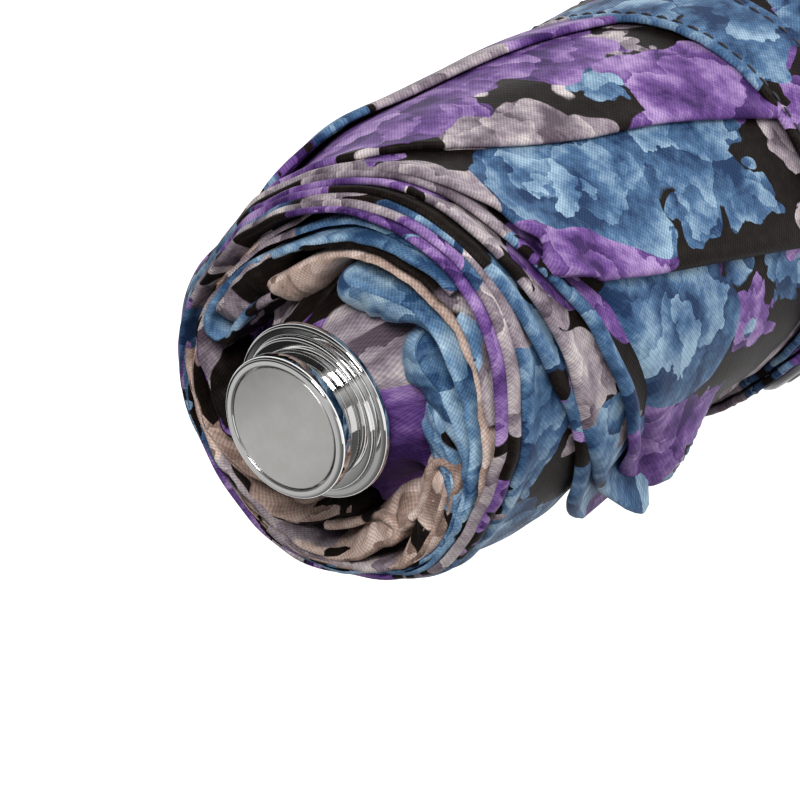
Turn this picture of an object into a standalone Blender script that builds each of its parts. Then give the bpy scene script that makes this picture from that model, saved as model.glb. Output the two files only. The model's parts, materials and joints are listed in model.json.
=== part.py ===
"""A three-fold compact umbrella, closed, rolled and strapped, with its whole frame inside.

Metres, +Z up. The shaft lies on the Z axis, the handle's flat end stands at z = 0 and the chrome
ferrule cap is at the top. The frame has eight arms, each of an inner rib, a stretcher, a mid rib and
an outer rib, folded flat beside the shaft. The shaft is three tubes that slide in one another.
"""

import math

import bmesh
import bpy
from mathutils import Matrix, Vector

# Driving dimensions
LENGTH = 0.280              # from the handle's end face to the cap's face
ARMS = 8
GAP = 0.0003                # running clearance between neighbouring solids
WALL = 0.0006               # tube wall
UPPER_TUBE_R = 0.0065       # outer radii of the three tubes
MIDDLE_TUBE_R = UPPER_TUBE_R - WALL - GAP
LOWER_TUBE_R = MIDDLE_TUBE_R - WALL - GAP
ROUND_STEPS = 24

SLIDE = 0.1250              # how far each tube draws out of the next

# Heights along the shaft
LOWER_TUBE_TOP = 0.2270
MIDDLE_TUBE_TOP = 0.2560
UPPER_TUBE_TOP = 0.2690
LOWER_CATCH_Z = 0.2110      # the catches' buttons
MIDDLE_CATCH_Z = 0.2460
HANDLE_TOP = 0.0700         # top of the grip; the chrome collar stands on it
COLLAR_TOP = 0.0745
HEM_Z = 0.0760              # lower edge of the rolled canopy
RUNNER_Z = 0.0806           # lower edge of the runner
RUNNER_PIVOT_Z = 0.1085
KNEE_LOW_Z = 0.0920         # where the inner rib meets the mid rib
EAR_Z = 0.1850              # where the stretcher meets the inner rib
KNEE_HIGH_Z = 0.2590        # where the mid rib meets the outer rib
CROWN_PIVOT_Z = 0.2640
CROWN_TOP_Z = 0.2700
FLANGE_BOTTOM_Z = LENGTH - 0.0074
NECK_BOTTOM_Z = LENGTH - 0.0052
FACE_Z = LENGTH

STUD_R = 0.0019             # the screw stud that holds the ferrule on the shaft

# Radii of the arm's pivots from the shaft's axis
CROWN_PIVOT_R = 0.0093
RUNNER_PIVOT_R = 0.0086
EAR_R = 0.00785
KNEE_LOW_R = 0.0130
KNEE_HIGH_R = 0.0156
OUTER_WIRE_R = 0.0174

# Rib sections
CHANNEL_HALF_WIDTH = 0.0015
CHANNEL_HALF_HEIGHT = 0.0015
CHANNEL_WALL = 0.00045
BAR_HALF_WIDTH = 0.00065
BAR_HALF_HEIGHT = 0.0008
EYE_R = 0.0012
EYE_HOLE_R = 0.0007
PIN_R = 0.0004
RING_WIRE_R = 0.00035

# Canopy and strap
CANOPY_BORE_R = 0.0190
STRAP_LOW_Z = 0.1853
STRAP_HIGH_Z = 0.1997
STRAP_R = 0.0306            # inner radius of the strap band
STRAP_THICK = 0.0012
STRAP_TAB_ANGLE = math.radians(62)      # arc of the free tab
STRAP_START = math.radians(-128)        # where the band begins, under the tab
SNAP_R = 0.0052


# ---------------------------------------------------------------- helpers

def clear_scene():
    for obj in list(bpy.data.objects):
        bpy.data.objects.remove(obj, do_unlink=True)


def make_collection(name):
    collection = bpy.data.collections.new(name)
    bpy.context.scene.collection.children.link(collection)
    return collection


def make_material(name, colour, roughness, metallic=0.0):
    material = bpy.data.materials.new(name)
    material.use_nodes = True
    shader = material.node_tree.nodes["Principled BSDF"]
    shader.inputs["Base Color"].default_value = (*colour, 1.0)
    shader.inputs["Roughness"].default_value = roughness
    shader.inputs["Metallic"].default_value = metallic
    material.diffuse_color = (*colour, 1.0)
    return material


def add_object(name, data, material, collection, parent=None):
    obj = bpy.data.objects.new(name, data)
    collection.objects.link(obj)
    if material is not None and not data.materials:
        data.materials.append(material)
    obj.parent = parent
    return obj


def turned(name, profile, material, collection, steps=ROUND_STEPS, closed=True):
    """A turned solid: (radius, height) points that run down the outer side, then back up the inner side.

    A closed profile makes a ring. An open one starts and ends on the axis."""
    mesh = bpy.data.meshes.new(name)
    count = len(profile)
    edges = [(i, i + 1) for i in range(count - 1)]
    if closed:
        edges.append((count - 1, 0))
    mesh.from_pydata([(radius, 0.0, height) for radius, height in profile], edges, [])
    obj = add_object(name, mesh, material, collection)
    screw = obj.modifiers.new("turn", "SCREW")
    screw.steps = steps
    screw.render_steps = steps
    screw.use_merge_vertices = True
    screw.merge_threshold = 0.00001
    screw.use_smooth_shade = True
    return obj


def tube(name, outer_r, bore_r, low, high, material, collection, steps=ROUND_STEPS):
    profile = [(outer_r, high), (outer_r, low), (bore_r, low), (bore_r, high)]
    return turned(name, profile, material, collection, steps)


def arc_points(centre, radius, start, end, steps):
    """Points on an arc in a plane, from the start angle to the end angle, both ends included."""
    return [
        (
            centre[0] + radius * math.cos(start + (end - start) * i / steps),
            centre[1] + radius * math.sin(start + (end - start) * i / steps),
        )
        for i in range(steps + 1)
    ]


def to_mesh(obj):
    """The object's evaluated shape as a plain mesh, with the loose caps of a curve welded."""
    graph = bpy.context.evaluated_depsgraph_get()
    mesh = bpy.data.meshes.new_from_object(obj.evaluated_get(graph))
    cleaner = bmesh.new()
    cleaner.from_mesh(mesh)
    bmesh.ops.remove_doubles(cleaner, verts=cleaner.verts, dist=0.000001)
    cleaner.to_mesh(mesh)
    cleaner.free()
    return mesh


def plate(name, outlines, half_thickness, collection, offset=0.0):
    """A flat plate in the arm's plane: x is the radius, z the height, and its thickness lies along y.

    The first outline is the edge and the others are holes."""
    curve = bpy.data.curves.new(name, "CURVE")
    curve.dimensions = "2D"
    curve.fill_mode = "BOTH"
    curve.extrude = half_thickness
    for outline in outlines:
        spline = curve.splines.new("POLY")
        spline.points.add(len(outline) - 1)
        for point, (x, z) in zip(spline.points, outline):
            point.co = (x, z, 0.0, 1.0)
        spline.use_cyclic_u = True
    source = bpy.data.objects.new(name + "_curve", curve)
    collection.objects.link(source)
    bpy.context.view_layer.update()
    mesh = to_mesh(source)
    mesh.transform(Matrix.Translation((0.0, offset, 0.0)) @ Matrix.Rotation(math.pi / 2, 4, "X"))
    bpy.data.objects.remove(source)
    return mesh


def bar_outline(start, end, half_height, start_r, end_r, steps=4):
    """A straight bar between two pivots with a round head on each."""
    line = Vector(end) - Vector(start)
    heading = math.atan2(line.y, line.x)
    outline = []
    for centre, radius, facing in ((end, end_r, heading), (start, start_r, heading + math.pi)):
        neck = math.asin(min(1.0, half_height / radius))
        sweep = math.pi - neck
        outline += arc_points(centre, radius, facing - sweep, facing + sweep, steps)
    return outline


def circle_outline(centre, radius, steps=6):
    return arc_points(centre, radius, 0.0, math.tau * (steps - 1) / steps, steps - 1)


def cylinder_mesh(name, radius, low, high, steps=12):
    """A cylinder on the Y axis, from low to high."""
    shape = bmesh.new()
    bmesh.ops.create_cone(
        shape, cap_ends=True, segments=steps, radius1=radius, radius2=radius, depth=high - low
    )
    bmesh.ops.rotate(shape, verts=shape.verts, matrix=Matrix.Rotation(math.pi / 2, 3, "X"))
    bmesh.ops.translate(shape, verts=shape.verts, vec=(0.0, (low + high) / 2, 0.0))
    mesh = bpy.data.meshes.new(name)
    shape.to_mesh(mesh)
    shape.free()
    return mesh


def moved(mesh, x=0.0, y=0.0, z=0.0):
    mesh.transform(Matrix.Translation((x, y, z)))
    return mesh


def combined(name, base, others, operation, collection):
    """One mesh from a base mesh joined with, or cut by, the others."""
    body = bpy.data.objects.new(name, base)
    collection.objects.link(body)
    tools = []
    for index, other in enumerate(others):
        tool = bpy.data.objects.new(f"{name}_tool_{index}", other)
        collection.objects.link(tool)
        tools.append(tool)
        boolean = body.modifiers.new(tool.name, "BOOLEAN")
        boolean.operation = operation
        boolean.object = tool
    bpy.context.view_layer.update()
    mesh = to_mesh(body)
    for obj in (body, *tools):
        bpy.data.objects.remove(obj)
    return mesh


def cut_object(obj, cutters, collection, label):
    """Cuts meshes out of an object with Boolean modifiers; the cutters stay as hidden helpers."""
    for index, mesh in enumerate(cutters):
        cutter = bpy.data.objects.new(f"{label}_cutter_{index}", mesh)
        collection.objects.link(cutter)
        cutter.hide_render = True
        cutter.display_type = "WIRE"
        boolean = obj.modifiers.new(cutter.name, "BOOLEAN")
        boolean.operation = "DIFFERENCE"
        boolean.object = cutter


def box_mesh(name, size, centre, angle=0.0):
    """A box turned about Z by the angle."""
    shape = bmesh.new()
    bmesh.ops.create_cube(shape, size=1.0)
    bmesh.ops.scale(shape, verts=shape.verts, vec=size)
    bmesh.ops.translate(shape, verts=shape.verts, vec=centre)
    bmesh.ops.rotate(shape, verts=shape.verts, matrix=Matrix.Rotation(angle, 3, "Z"))
    mesh = bpy.data.meshes.new(name)
    shape.to_mesh(mesh)
    shape.free()
    return mesh


def ring_mesh(name, outer_r, inner_r, low, high, steps, collection):
    ring = tube(name, outer_r, inner_r, low, high, None, collection, steps)
    bpy.context.view_layer.update()
    mesh = to_mesh(ring)
    bpy.data.objects.remove(ring)
    return mesh


def wire_ring(name, radius, wire_r, height, material, collection):
    bpy.ops.mesh.primitive_torus_add(
        major_radius=radius,
        minor_radius=wire_r,
        major_segments=ROUND_STEPS,
        minor_segments=5,
        location=(0.0, 0.0, height),
    )
    ring = bpy.context.object
    ring.name = name
    ring.data.name = name
    ring.data.materials.append(material)
    ring.data.shade_smooth()
    for owner in list(ring.users_collection):
        owner.objects.unlink(ring)
    collection.objects.link(ring)
    return ring


def arm_angle(index):
    return math.tau * (index + 0.5) / ARMS


# ---------------------------------------------------------------- handle

def build_handle(parts, helpers, finish):
    """The grip, its chrome collar and end cap, and the cross pin that holds the lowest tube."""
    bore = LOWER_TUBE_R + GAP
    socket_low = 0.0230
    stem_r = 0.0040
    grip = turned(
        "handle_grip",
        [
            (0.0128, HANDLE_TOP - GAP),
            (0.0136, HANDLE_TOP - 0.0020),
            (0.0146, 0.0560),
            (0.0158, 0.0400),
            (0.0164, 0.0250),
            (0.0162, 0.0120),
            (0.0153, 0.0058),
            (stem_r + GAP, 0.0058),
            (stem_r + GAP, 0.0180),
            (bore, socket_low),
            (bore, HANDLE_TOP - GAP),
        ],
        finish["lacquer"],
        parts,
    )
    pin_z = 0.0520
    pin_hole = cylinder_mesh("pin_hole", 0.0014, -0.0200, 0.0200)
    cut_object(grip, [moved(pin_hole, z=pin_z)], helpers, "handle_grip")
    pin = add_object("handle_pin", cylinder_mesh("handle_pin", 0.0011, -0.0144, 0.0144),
                     finish["steel"], parts)
    pin.location = (0.0, 0.0, pin_z)
    turned(
        "handle_collar",
        [
            (0.0110, COLLAR_TOP),
            (0.0126, COLLAR_TOP - 0.0008),
            (0.0131, COLLAR_TOP - 0.0022),
            (0.0127, HANDLE_TOP + 0.0006),
            (0.0129, HANDLE_TOP),
            (bore, HANDLE_TOP),
            (bore, COLLAR_TOP),
        ],
        finish["chrome"],
        parts,
    )
    turned(
        "handle_end_cap",
        [
            (0.0, 0.0165),
            (stem_r, 0.0165),
            (stem_r, 0.0055),
            (0.0150, 0.0055),
            (0.0155, 0.0042),
            (0.0152, 0.0014),
            (0.0140, 0.0),
            (0.0, 0.0),
        ],
        finish["chrome"],
        parts,
        closed=False,
    )
    lower_tube = tube("lower_tube", LOWER_TUBE_R, LOWER_TUBE_R - WALL, socket_low + 0.0005,
                      LOWER_TUBE_TOP, finish["chrome"], parts)
    tube_hole = cylinder_mesh("tube_pin_hole", 0.0014, -0.0100, 0.0100)
    cutters = [moved(tube_hole, z=pin_z), catch_window(LOWER_TUBE_R, LOWER_CATCH_Z)]
    cut_object(lower_tube, cutters, helpers, "lower_tube")


def bush(name, body_r, head_r, low, shoulder, high, material, collection):
    """A nylon guide plugged in the top of a tube; its head slides in the bore of the next tube."""
    bore_r = 0.0022
    profile = [
        (head_r, high),
        (head_r, shoulder),
        (body_r, shoulder),
        (body_r, low),
        (bore_r, low),
        (bore_r, high),
    ]
    return turned(name, profile, material, collection, steps=24)


def catch_window(tube_r, height):
    """The cutter for the window that a catch's button comes through."""
    return box_mesh("catch_window", (0.0050, 0.0032, 0.0036), (tube_r, 0.0, height))


def spring_catch(name, bore_r, button_r, height, material, collection, helpers):
    """A bent leaf spring in a tube's bore, with the button that locks the drawn-out tube."""
    half_width = 0.0012
    leaf = 0.0004
    back_x = -(bore_r - 0.0009)
    front_x = bore_r - 0.0009
    low = height - 0.0130
    outline = [
        (back_x, height + 0.0020),
        (back_x, low),
        (back_x + leaf, low - 0.0006),
        (front_x, height - 0.0026),
        (front_x, height + 0.0026),
        (front_x - leaf, height + 0.0026),
        (front_x - leaf, height - 0.0024),
        (back_x + leaf, low + 0.0010),
        (back_x + leaf, height + 0.0020),
    ]
    spring = plate(name, [outline], half_width, helpers)
    button = cylinder_mesh(name + "_button", 0.0010, front_x - leaf / 2, button_r)
    button.transform(Matrix.Rotation(-math.pi / 2, 4, "Z"))
    mesh = combined(name, spring, [moved(button, z=height)], "UNION", helpers)
    return add_object(name, mesh, material, collection)


# ---------------------------------------------------------------- shaft, crown and ferrule

def build_shaft(parts, helpers, finish):
    """The tubes that slide, with their guides and the catches that lock them drawn out."""
    middle_low = COLLAR_TOP + 0.0015
    upper_low = RUNNER_Z - GAP
    head = 0.0036
    bush("lower_tube_bush", LOWER_TUBE_R - WALL - GAP, LOWER_TUBE_R, LOWER_TUBE_TOP - 0.0050,
         LOWER_TUBE_TOP + GAP, LOWER_TUBE_TOP + head, finish["nylon"], parts)
    spring_catch("lower_tube_catch", LOWER_TUBE_R - WALL, LOWER_TUBE_R - 0.0001, LOWER_CATCH_Z,
                 finish["steel"], parts, helpers)
    middle_tube = tube("middle_tube", MIDDLE_TUBE_R, MIDDLE_TUBE_R - WALL, middle_low,
                       MIDDLE_TUBE_TOP, finish["chrome"], parts)
    windows = [
        catch_window(MIDDLE_TUBE_R, MIDDLE_CATCH_Z),
        catch_window(MIDDLE_TUBE_R, LOWER_CATCH_Z - SLIDE),
    ]
    cut_object(middle_tube, windows, helpers, "middle_tube")
    bush("middle_tube_bush", MIDDLE_TUBE_R - WALL - GAP, MIDDLE_TUBE_R, MIDDLE_TUBE_TOP - 0.0060,
         MIDDLE_TUBE_TOP + GAP, MIDDLE_TUBE_TOP + head, finish["nylon"], parts)
    spring_catch("middle_tube_catch", MIDDLE_TUBE_R - WALL, MIDDLE_TUBE_R - 0.0001,
                 MIDDLE_CATCH_Z, finish["steel"], parts, helpers)
    upper_tube = tube("upper_tube", UPPER_TUBE_R, UPPER_TUBE_R - WALL, upper_low, UPPER_TUBE_TOP,
                      finish["black_steel"], parts)
    windows = [catch_window(UPPER_TUBE_R, MIDDLE_CATCH_Z - SLIDE)]
    cut_object(upper_tube, windows, helpers, "upper_tube")
    tube("runner_stop_ring", 0.0084, MIDDLE_TUBE_R + GAP, middle_low + 0.0016, upper_low - GAP,
         finish["steel"], parts)
    plug_r, plug_low = UPPER_TUBE_R - WALL - GAP, UPPER_TUBE_TOP - 0.0084
    tube("upper_tube_plug", plug_r, STUD_R + 0.0004, plug_low, UPPER_TUBE_TOP,
         finish["steel"], parts)


def slotted_ring(name, profile, slot_bottom_r, slot_half_width, slot_low, slot_high, groove,
                 material, parts, helpers):
    """A turned ring with one slot for each arm and a groove for its hinge wire."""
    ring = turned(name, profile, material, parts, steps=32)
    length = 0.0100
    cutters = [
        box_mesh(
            f"{name}_slot",
            (length, 2 * slot_half_width, slot_high - slot_low),
            (slot_bottom_r + length / 2, 0.0, (slot_low + slot_high) / 2),
            arm_angle(index),
        )
        for index in range(ARMS)
    ]
    outer_r, inner_r, low, high = groove
    cutters.append(ring_mesh(f"{name}_groove", outer_r, inner_r, low, high, 32, helpers))
    cut_object(ring, cutters, helpers, name)
    return ring


def build_crown(parts, helpers, finish):
    """The crown with its hinge wire, and the chrome flange and cap that clamp the canopy on it."""
    crown_r = 0.0112
    bore = UPPER_TUBE_R + GAP
    low = 0.2580
    slotted_ring(
        "crown",
        [
            (crown_r - 0.0006, CROWN_TOP_Z),
            (crown_r, CROWN_TOP_Z - 0.0006),
            (crown_r, low + 0.0010),
            (crown_r - 0.0008, low),
            (bore, low),
            (bore, CROWN_TOP_Z),
        ],
        CROWN_PIVOT_R - 0.0018,
        CHANNEL_HALF_WIDTH + 0.0004,
        low - 0.0010,
        CROWN_TOP_Z + 0.0010,
        (CROWN_PIVOT_R + 0.0008, CROWN_PIVOT_R - 0.0008, CROWN_PIVOT_Z - 0.0008, CROWN_TOP_Z + 0.0020),
        finish["nylon"],
        parts,
        helpers,
    )
    wire_ring("crown_wire", CROWN_PIVOT_R, RING_WIRE_R, CROWN_PIVOT_Z, finish["steel"], parts)
    stud_bore_r = STUD_R + GAP
    turned(
        "ferrule_stud",
        [(0.0, 0.2770), (STUD_R, 0.2770), (STUD_R, 0.2620), (0.0, 0.2620)],
        finish["steel"],
        parts,
        steps=16,
        closed=False,
    )
    flange_r, step_r = 0.0125, 0.0110
    turned(
        "ferrule_flange",
        [
            (0.0096, NECK_BOTTOM_Z + 0.0001),
            (0.0103, NECK_BOTTOM_Z + 0.0003),
            (step_r - 0.0001, NECK_BOTTOM_Z + 0.0001),
            (step_r, NECK_BOTTOM_Z - 0.0004),
            (step_r + 0.0003, NECK_BOTTOM_Z - 0.0006),
            (flange_r - 0.0005, NECK_BOTTOM_Z - 0.0006),
            (flange_r - 0.0001, NECK_BOTTOM_Z - 0.0010),
            (flange_r, NECK_BOTTOM_Z - 0.0015),
            (flange_r - 0.0003, FLANGE_BOTTOM_Z + 0.0002),
            (flange_r - 0.0008, FLANGE_BOTTOM_Z),
            (stud_bore_r + 0.0020, FLANGE_BOTTOM_Z),
            (stud_bore_r + 0.0020, NECK_BOTTOM_Z - 0.0006),
            (0.0096, NECK_BOTTOM_Z - 0.0006),
        ],
        finish["chrome"],
        parts,
        steps=32,
    )
    neck_r, head_r, disc_r = 0.0092, 0.0101, 0.0087
    turned(
        "ferrule_cap",
        [
            (disc_r + GAP, FACE_Z - 0.0002),
            (disc_r + 0.0006, FACE_Z),
            (head_r - 0.0003, FACE_Z - 0.0003),
            (head_r, FACE_Z - 0.0009),
            (head_r - 0.0002, FACE_Z - 0.0016),
            (neck_r + 0.0002, FACE_Z - 0.0022),
            (neck_r, FACE_Z - 0.0028),
            (neck_r, NECK_BOTTOM_Z - 0.0003),
            (stud_bore_r, NECK_BOTTOM_Z - 0.0003),
            (stud_bore_r, FACE_Z - 0.0024),
            (disc_r + GAP, FACE_Z - 0.0024),
        ],
        finish["chrome"],
        parts,
        steps=32,
    )
    disc_top = FACE_Z - 0.0001
    turned(
        "ferrule_disc",
        [(0.0, disc_top), (disc_r, disc_top), (disc_r, FACE_Z - 0.0021), (0.0, FACE_Z - 0.0021)],
        finish["chrome"],
        parts,
        steps=32,
        closed=False,
    )
    patch_r = 0.0145
    tube("canopy_patch", patch_r, 0.0045, FLANGE_BOTTOM_Z - 0.0009, FLANGE_BOTTOM_Z - GAP,
         finish["cloth"], parts)


def build_runner(parts, helpers, finish):
    """The sleeve that slides on the upper tube and carries the stretchers."""
    bore = UPPER_TUBE_R + GAP
    head_low, head_high, head_r = 0.1036, 0.1140, 0.0100
    slotted_ring(
        "runner",
        [
            (head_r, head_high),
            (head_r, head_low),
            (0.0084, head_low - 0.0012),
            (0.0080, RUNNER_Z + 0.0080),
            (0.0088, RUNNER_Z + 0.0020),
            (0.0086, RUNNER_Z),
            (bore, RUNNER_Z),
            (bore, head_high),
        ],
        RUNNER_PIVOT_R - 0.0016,
        BAR_HALF_WIDTH + 0.0004,
        head_low + 0.0022,
        head_high + 0.0010,
        (
            RUNNER_PIVOT_R + 0.0007,
            RUNNER_PIVOT_R - 0.0007,
            RUNNER_PIVOT_Z - 0.0008,
            head_high + 0.0020,
        ),
        finish["nylon"],
        parts,
        helpers,
    )
    wire_ring("runner_wire", RUNNER_PIVOT_R, RING_WIRE_R, RUNNER_PIVOT_Z, finish["steel"], parts)


# ---------------------------------------------------------------- folding arms

def rib_point(height):
    """The point on the inner rib's centre line at a height."""
    share = (CROWN_PIVOT_Z - height) / (CROWN_PIVOT_Z - KNEE_LOW_Z)
    return (CROWN_PIVOT_R + (KNEE_LOW_R - CROWN_PIVOT_R) * share, height)


def inner_rib_mesh(helpers):
    """A channel open outwards, with an ear that carries the stretcher's pin and one pin at its knee."""
    crown, knee = (CROWN_PIVOT_R, CROWN_PIVOT_Z), (KNEE_LOW_R, KNEE_LOW_Z)
    radius = CHANNEL_HALF_HEIGHT
    heading = math.atan2(crown[1] - knee[1], crown[0] - knee[0])
    ear_half = 0.0034
    ear_head_r = 0.0010
    side = Vector((math.cos(heading + math.pi / 2), math.sin(heading + math.pi / 2))) * radius
    ear_high = Vector(rib_point(EAR_Z + ear_half)) + side
    ear_low = Vector(rib_point(EAR_Z - ear_half)) + side
    outline = [
        *arc_points(crown, radius, heading - math.pi / 2, heading + math.pi / 2, 4),
        tuple(ear_high),
        *arc_points((EAR_R, EAR_Z), ear_head_r, math.pi / 3, math.pi * 5 / 3, 4),
        tuple(ear_low),
        *arc_points(knee, radius, heading + math.pi / 2, heading + math.pi * 3 / 2, 4),
    ]
    wall_half = CHANNEL_WALL / 2
    wall_y = CHANNEL_HALF_WIDTH - wall_half
    holes = [circle_outline(crown, EYE_HOLE_R)]
    near = plate("rib_wall", [outline, *holes], wall_half, helpers, wall_y)
    far = plate("rib_wall", [outline, *holes], wall_half, helpers, -wall_y)
    web_top = Vector(rib_point(CROWN_PIVOT_Z - 0.0080))
    web_low = Vector(rib_point(KNEE_LOW_Z + 0.0060))
    web_outer = side * ((radius - CHANNEL_WALL) / radius)
    web_inner = side * ((radius - 0.00004) / radius)
    web = plate(
        "rib_web",
        [[tuple(web_top + web_outer), tuple(web_top + web_inner),
          tuple(web_low + web_inner), tuple(web_low + web_outer)]],
        CHANNEL_HALF_WIDTH - wall_half,
        helpers,
    )
    pin_half = CHANNEL_HALF_WIDTH + 0.0002
    ear_pin = moved(cylinder_mesh("ear_pin", PIN_R, -pin_half, pin_half, 6), EAR_R, 0.0, EAR_Z)
    knee_pin = moved(cylinder_mesh("knee_pin", PIN_R, -pin_half, pin_half, 6),
                     KNEE_LOW_R, 0.0, KNEE_LOW_Z)
    return combined("inner_rib", near, [far, web, ear_pin, knee_pin], "UNION", helpers)


def stretcher_mesh(helpers):
    start, end = (RUNNER_PIVOT_R, RUNNER_PIVOT_Z), (EAR_R, EAR_Z)
    half = 0.0007
    outline = bar_outline(start, end, half, 0.00115, 0.0010)
    holes = [circle_outline(start, EYE_HOLE_R), circle_outline(end, EYE_HOLE_R)]
    return plate("stretcher", [outline, *holes], BAR_HALF_WIDTH, helpers)


def mid_rib_mesh(helpers):
    start, end = (KNEE_LOW_R, KNEE_LOW_Z), (KNEE_HIGH_R, KNEE_HIGH_Z)
    outline = bar_outline(start, end, BAR_HALF_HEIGHT, EYE_R, EYE_R)
    holes = [circle_outline(start, EYE_HOLE_R), circle_outline(end, EYE_HOLE_R)]
    return plate("mid_rib", [outline, *holes], BAR_HALF_WIDTH, helpers)


def outer_rib_mesh(helpers):
    """A fork that straddles the mid rib's eye, a round wire, and the tip cap sewn to the hem."""
    top = (KNEE_HIGH_R, KNEE_HIGH_Z)
    root_z = KNEE_HIGH_Z - 0.0085
    root = (OUTER_WIRE_R, root_z)
    ear_half = 0.00025
    ear_y = BAR_HALF_WIDTH + GAP + ear_half
    outline = bar_outline(root, top, 0.0006, 0.0009, 0.0010)
    near = plate("fork_ear", [outline], ear_half, helpers, ear_y)
    far = plate("fork_ear", [outline], ear_half, helpers, -ear_y)
    bridge = box_mesh(
        "fork_bridge",
        (0.0011, 2 * (ear_y + ear_half - 0.00010), 0.0018),
        (OUTER_WIRE_R, 0.0, root_z - 0.0002),
    )
    pin = moved(cylinder_mesh("knee_pin", PIN_R, -ear_y, ear_y, 6), top[0], 0.0, top[1])
    wire = rod_mesh("outer_wire", 0.0009, HEM_Z + 0.0060, root_z + 0.0002, 6)
    tip = rod_mesh("tip_cap", 0.0013, HEM_Z + 0.0012, HEM_Z + 0.0088, 8)
    for mesh in (wire, tip):
        moved(mesh, x=OUTER_WIRE_R)
    return combined("outer_rib", bridge, [near, far, pin, wire, tip], "UNION", helpers)


def rod_mesh(name, radius, low, high, steps):
    """A rod along Z."""
    mesh = cylinder_mesh(name, radius, low, high, steps)
    mesh.transform(Matrix.Rotation(math.pi / 2, 4, "X"))
    return mesh


def build_arms(parts, helpers, finish):
    meshes = {
        "inner_rib": inner_rib_mesh(helpers),
        "stretcher": stretcher_mesh(helpers),
        "mid_rib": mid_rib_mesh(helpers),
        "outer_rib": outer_rib_mesh(helpers),
    }
    for index in range(ARMS):
        arm = bpy.data.objects.new(f"arm_{index + 1}", None)
        arm.rotation_euler.z = arm_angle(index)
        parts.objects.link(arm)
        for kind, mesh in meshes.items():
            add_object(f"{kind}_{index + 1}", mesh, finish["black_steel"], parts, parent=arm)


# ---------------------------------------------------------------- canopy and strap

def canopy_radius(angle, height):
    """How far the roll's lobes stand out from its turned profile: eight leaves wrapped one way."""
    strap_mid = (STRAP_LOW_Z + STRAP_HIGH_Z) / 2
    from_strap = abs(height - strap_mid)
    calm = min(1.0, max(0.0, (from_strap - 0.0090) / 0.0300))
    twist = 2.4 * (LENGTH - height) / LENGTH
    saw = ((angle + twist) * ARMS / math.tau) % 1.0
    return 0.0011 * calm * (0.5 - saw) * math.sin(math.pi * min(1.0, saw * 6))


def build_canopy(parts, finish):
    """The rolled cloth as one closed sleeve: a dished top round the cap, and an open lower end."""
    hollow_top = CROWN_TOP_Z + GAP
    profile = [
        (0.0046, FLANGE_BOTTOM_Z - 0.0013),
        (0.0135, FLANGE_BOTTOM_Z - 0.0013),
        (0.0165, LENGTH - 0.0125),
        (0.0190, LENGTH - 0.0115),
        (0.0222, LENGTH - 0.0088),
        (0.0250, LENGTH - 0.0096),
        (0.0268, LENGTH - 0.0135),
        (0.0277, LENGTH - 0.0220),
        (0.0290, LENGTH - 0.0350),
        (0.0303, LENGTH - 0.0500),
        (0.0309, LENGTH - 0.0620),
        (0.0308, LENGTH - 0.0720),
        (0.0302, STRAP_HIGH_Z + 0.0020),
        (0.0302, STRAP_LOW_Z - 0.0020),
        (0.0309, 0.1700),
        (0.0307, 0.1450),
        (0.0298, 0.1180),
        (0.0286, 0.0950),
        (0.0276, 0.0820),
        (0.0270, HEM_Z),
        (0.0215, HEM_Z),
        (CANOPY_BORE_R, HEM_Z + 0.0010),
        (CANOPY_BORE_R, LENGTH - 0.0172),
        (0.0120, hollow_top),
        (0.0046, hollow_top),
    ]
    canopy = turned("canopy", profile, finish["cloth"], parts, steps=40)
    bpy.context.view_layer.update()
    mesh = to_mesh(canopy)
    for vertex in mesh.vertices:
        radius = math.hypot(vertex.co.x, vertex.co.y)
        if radius > 0.0264 and vertex.co.z > HEM_Z + 0.0010:
            grow = canopy_radius(math.atan2(vertex.co.y, vertex.co.x), vertex.co.z) / radius
            vertex.co.x *= 1.0 + grow
            vertex.co.y *= 1.0 + grow
    bpy.data.objects.remove(canopy)
    add_object("canopy", mesh, finish["cloth"], parts)


def strap_curve(start, end, inner_r, steps, lift_start=0.0, lift_end=0.0):
    """A flat band bent round the roll, seen along Z, as a closed outline."""
    inner, outer = [], []
    for i in range(steps + 1):
        share = i / steps
        angle = start + (end - start) * share
        radius = inner_r + lift_start + (lift_end - lift_start) * share
        for row, r in ((inner, radius), (outer, radius + STRAP_THICK)):
            row.append((r * math.cos(angle), r * math.sin(angle)))
    return outer + inner[::-1]


def band(name, outline, low, high, material, parts, helpers):
    mesh = plate(name, [outline], (high - low) / 2, helpers)
    mesh.transform(Matrix.Translation((0.0, 0.0, (low + high) / 2)) @ Matrix.Rotation(-math.pi / 2, 4, "X"))
    return add_object(name, mesh, material, parts)


def build_strap(parts, helpers, finish):
    """A band once round the roll; its free tab laps over the band's start and snaps shut."""
    tab_base = STRAP_START + math.tau - math.radians(6)
    strap = band("strap_band", strap_curve(STRAP_START, tab_base, STRAP_R, 60),
                 STRAP_LOW_Z, STRAP_HIGH_Z, finish["cloth"], parts, helpers)
    lap = STRAP_THICK + GAP
    root_angle = GAP / STRAP_R
    tab_start = tab_base + root_angle
    tab_end = tab_start + STRAP_TAB_ANGLE
    ramp = math.radians(5)
    rise = strap_curve(tab_start, tab_start + ramp, STRAP_R, 3, 0.0, lap)
    rest = strap_curve(tab_start + ramp, tab_end, STRAP_R + lap, 14)
    half = len(rise) // 2
    outline = rise[:half] + rest[1:-1] + rise[half:]
    band("strap_tab", outline, STRAP_LOW_Z, STRAP_HIGH_Z, finish["cloth"], parts, helpers)
    build_snap(strap, tab_end - math.radians(13), parts, helpers, finish)


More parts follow.
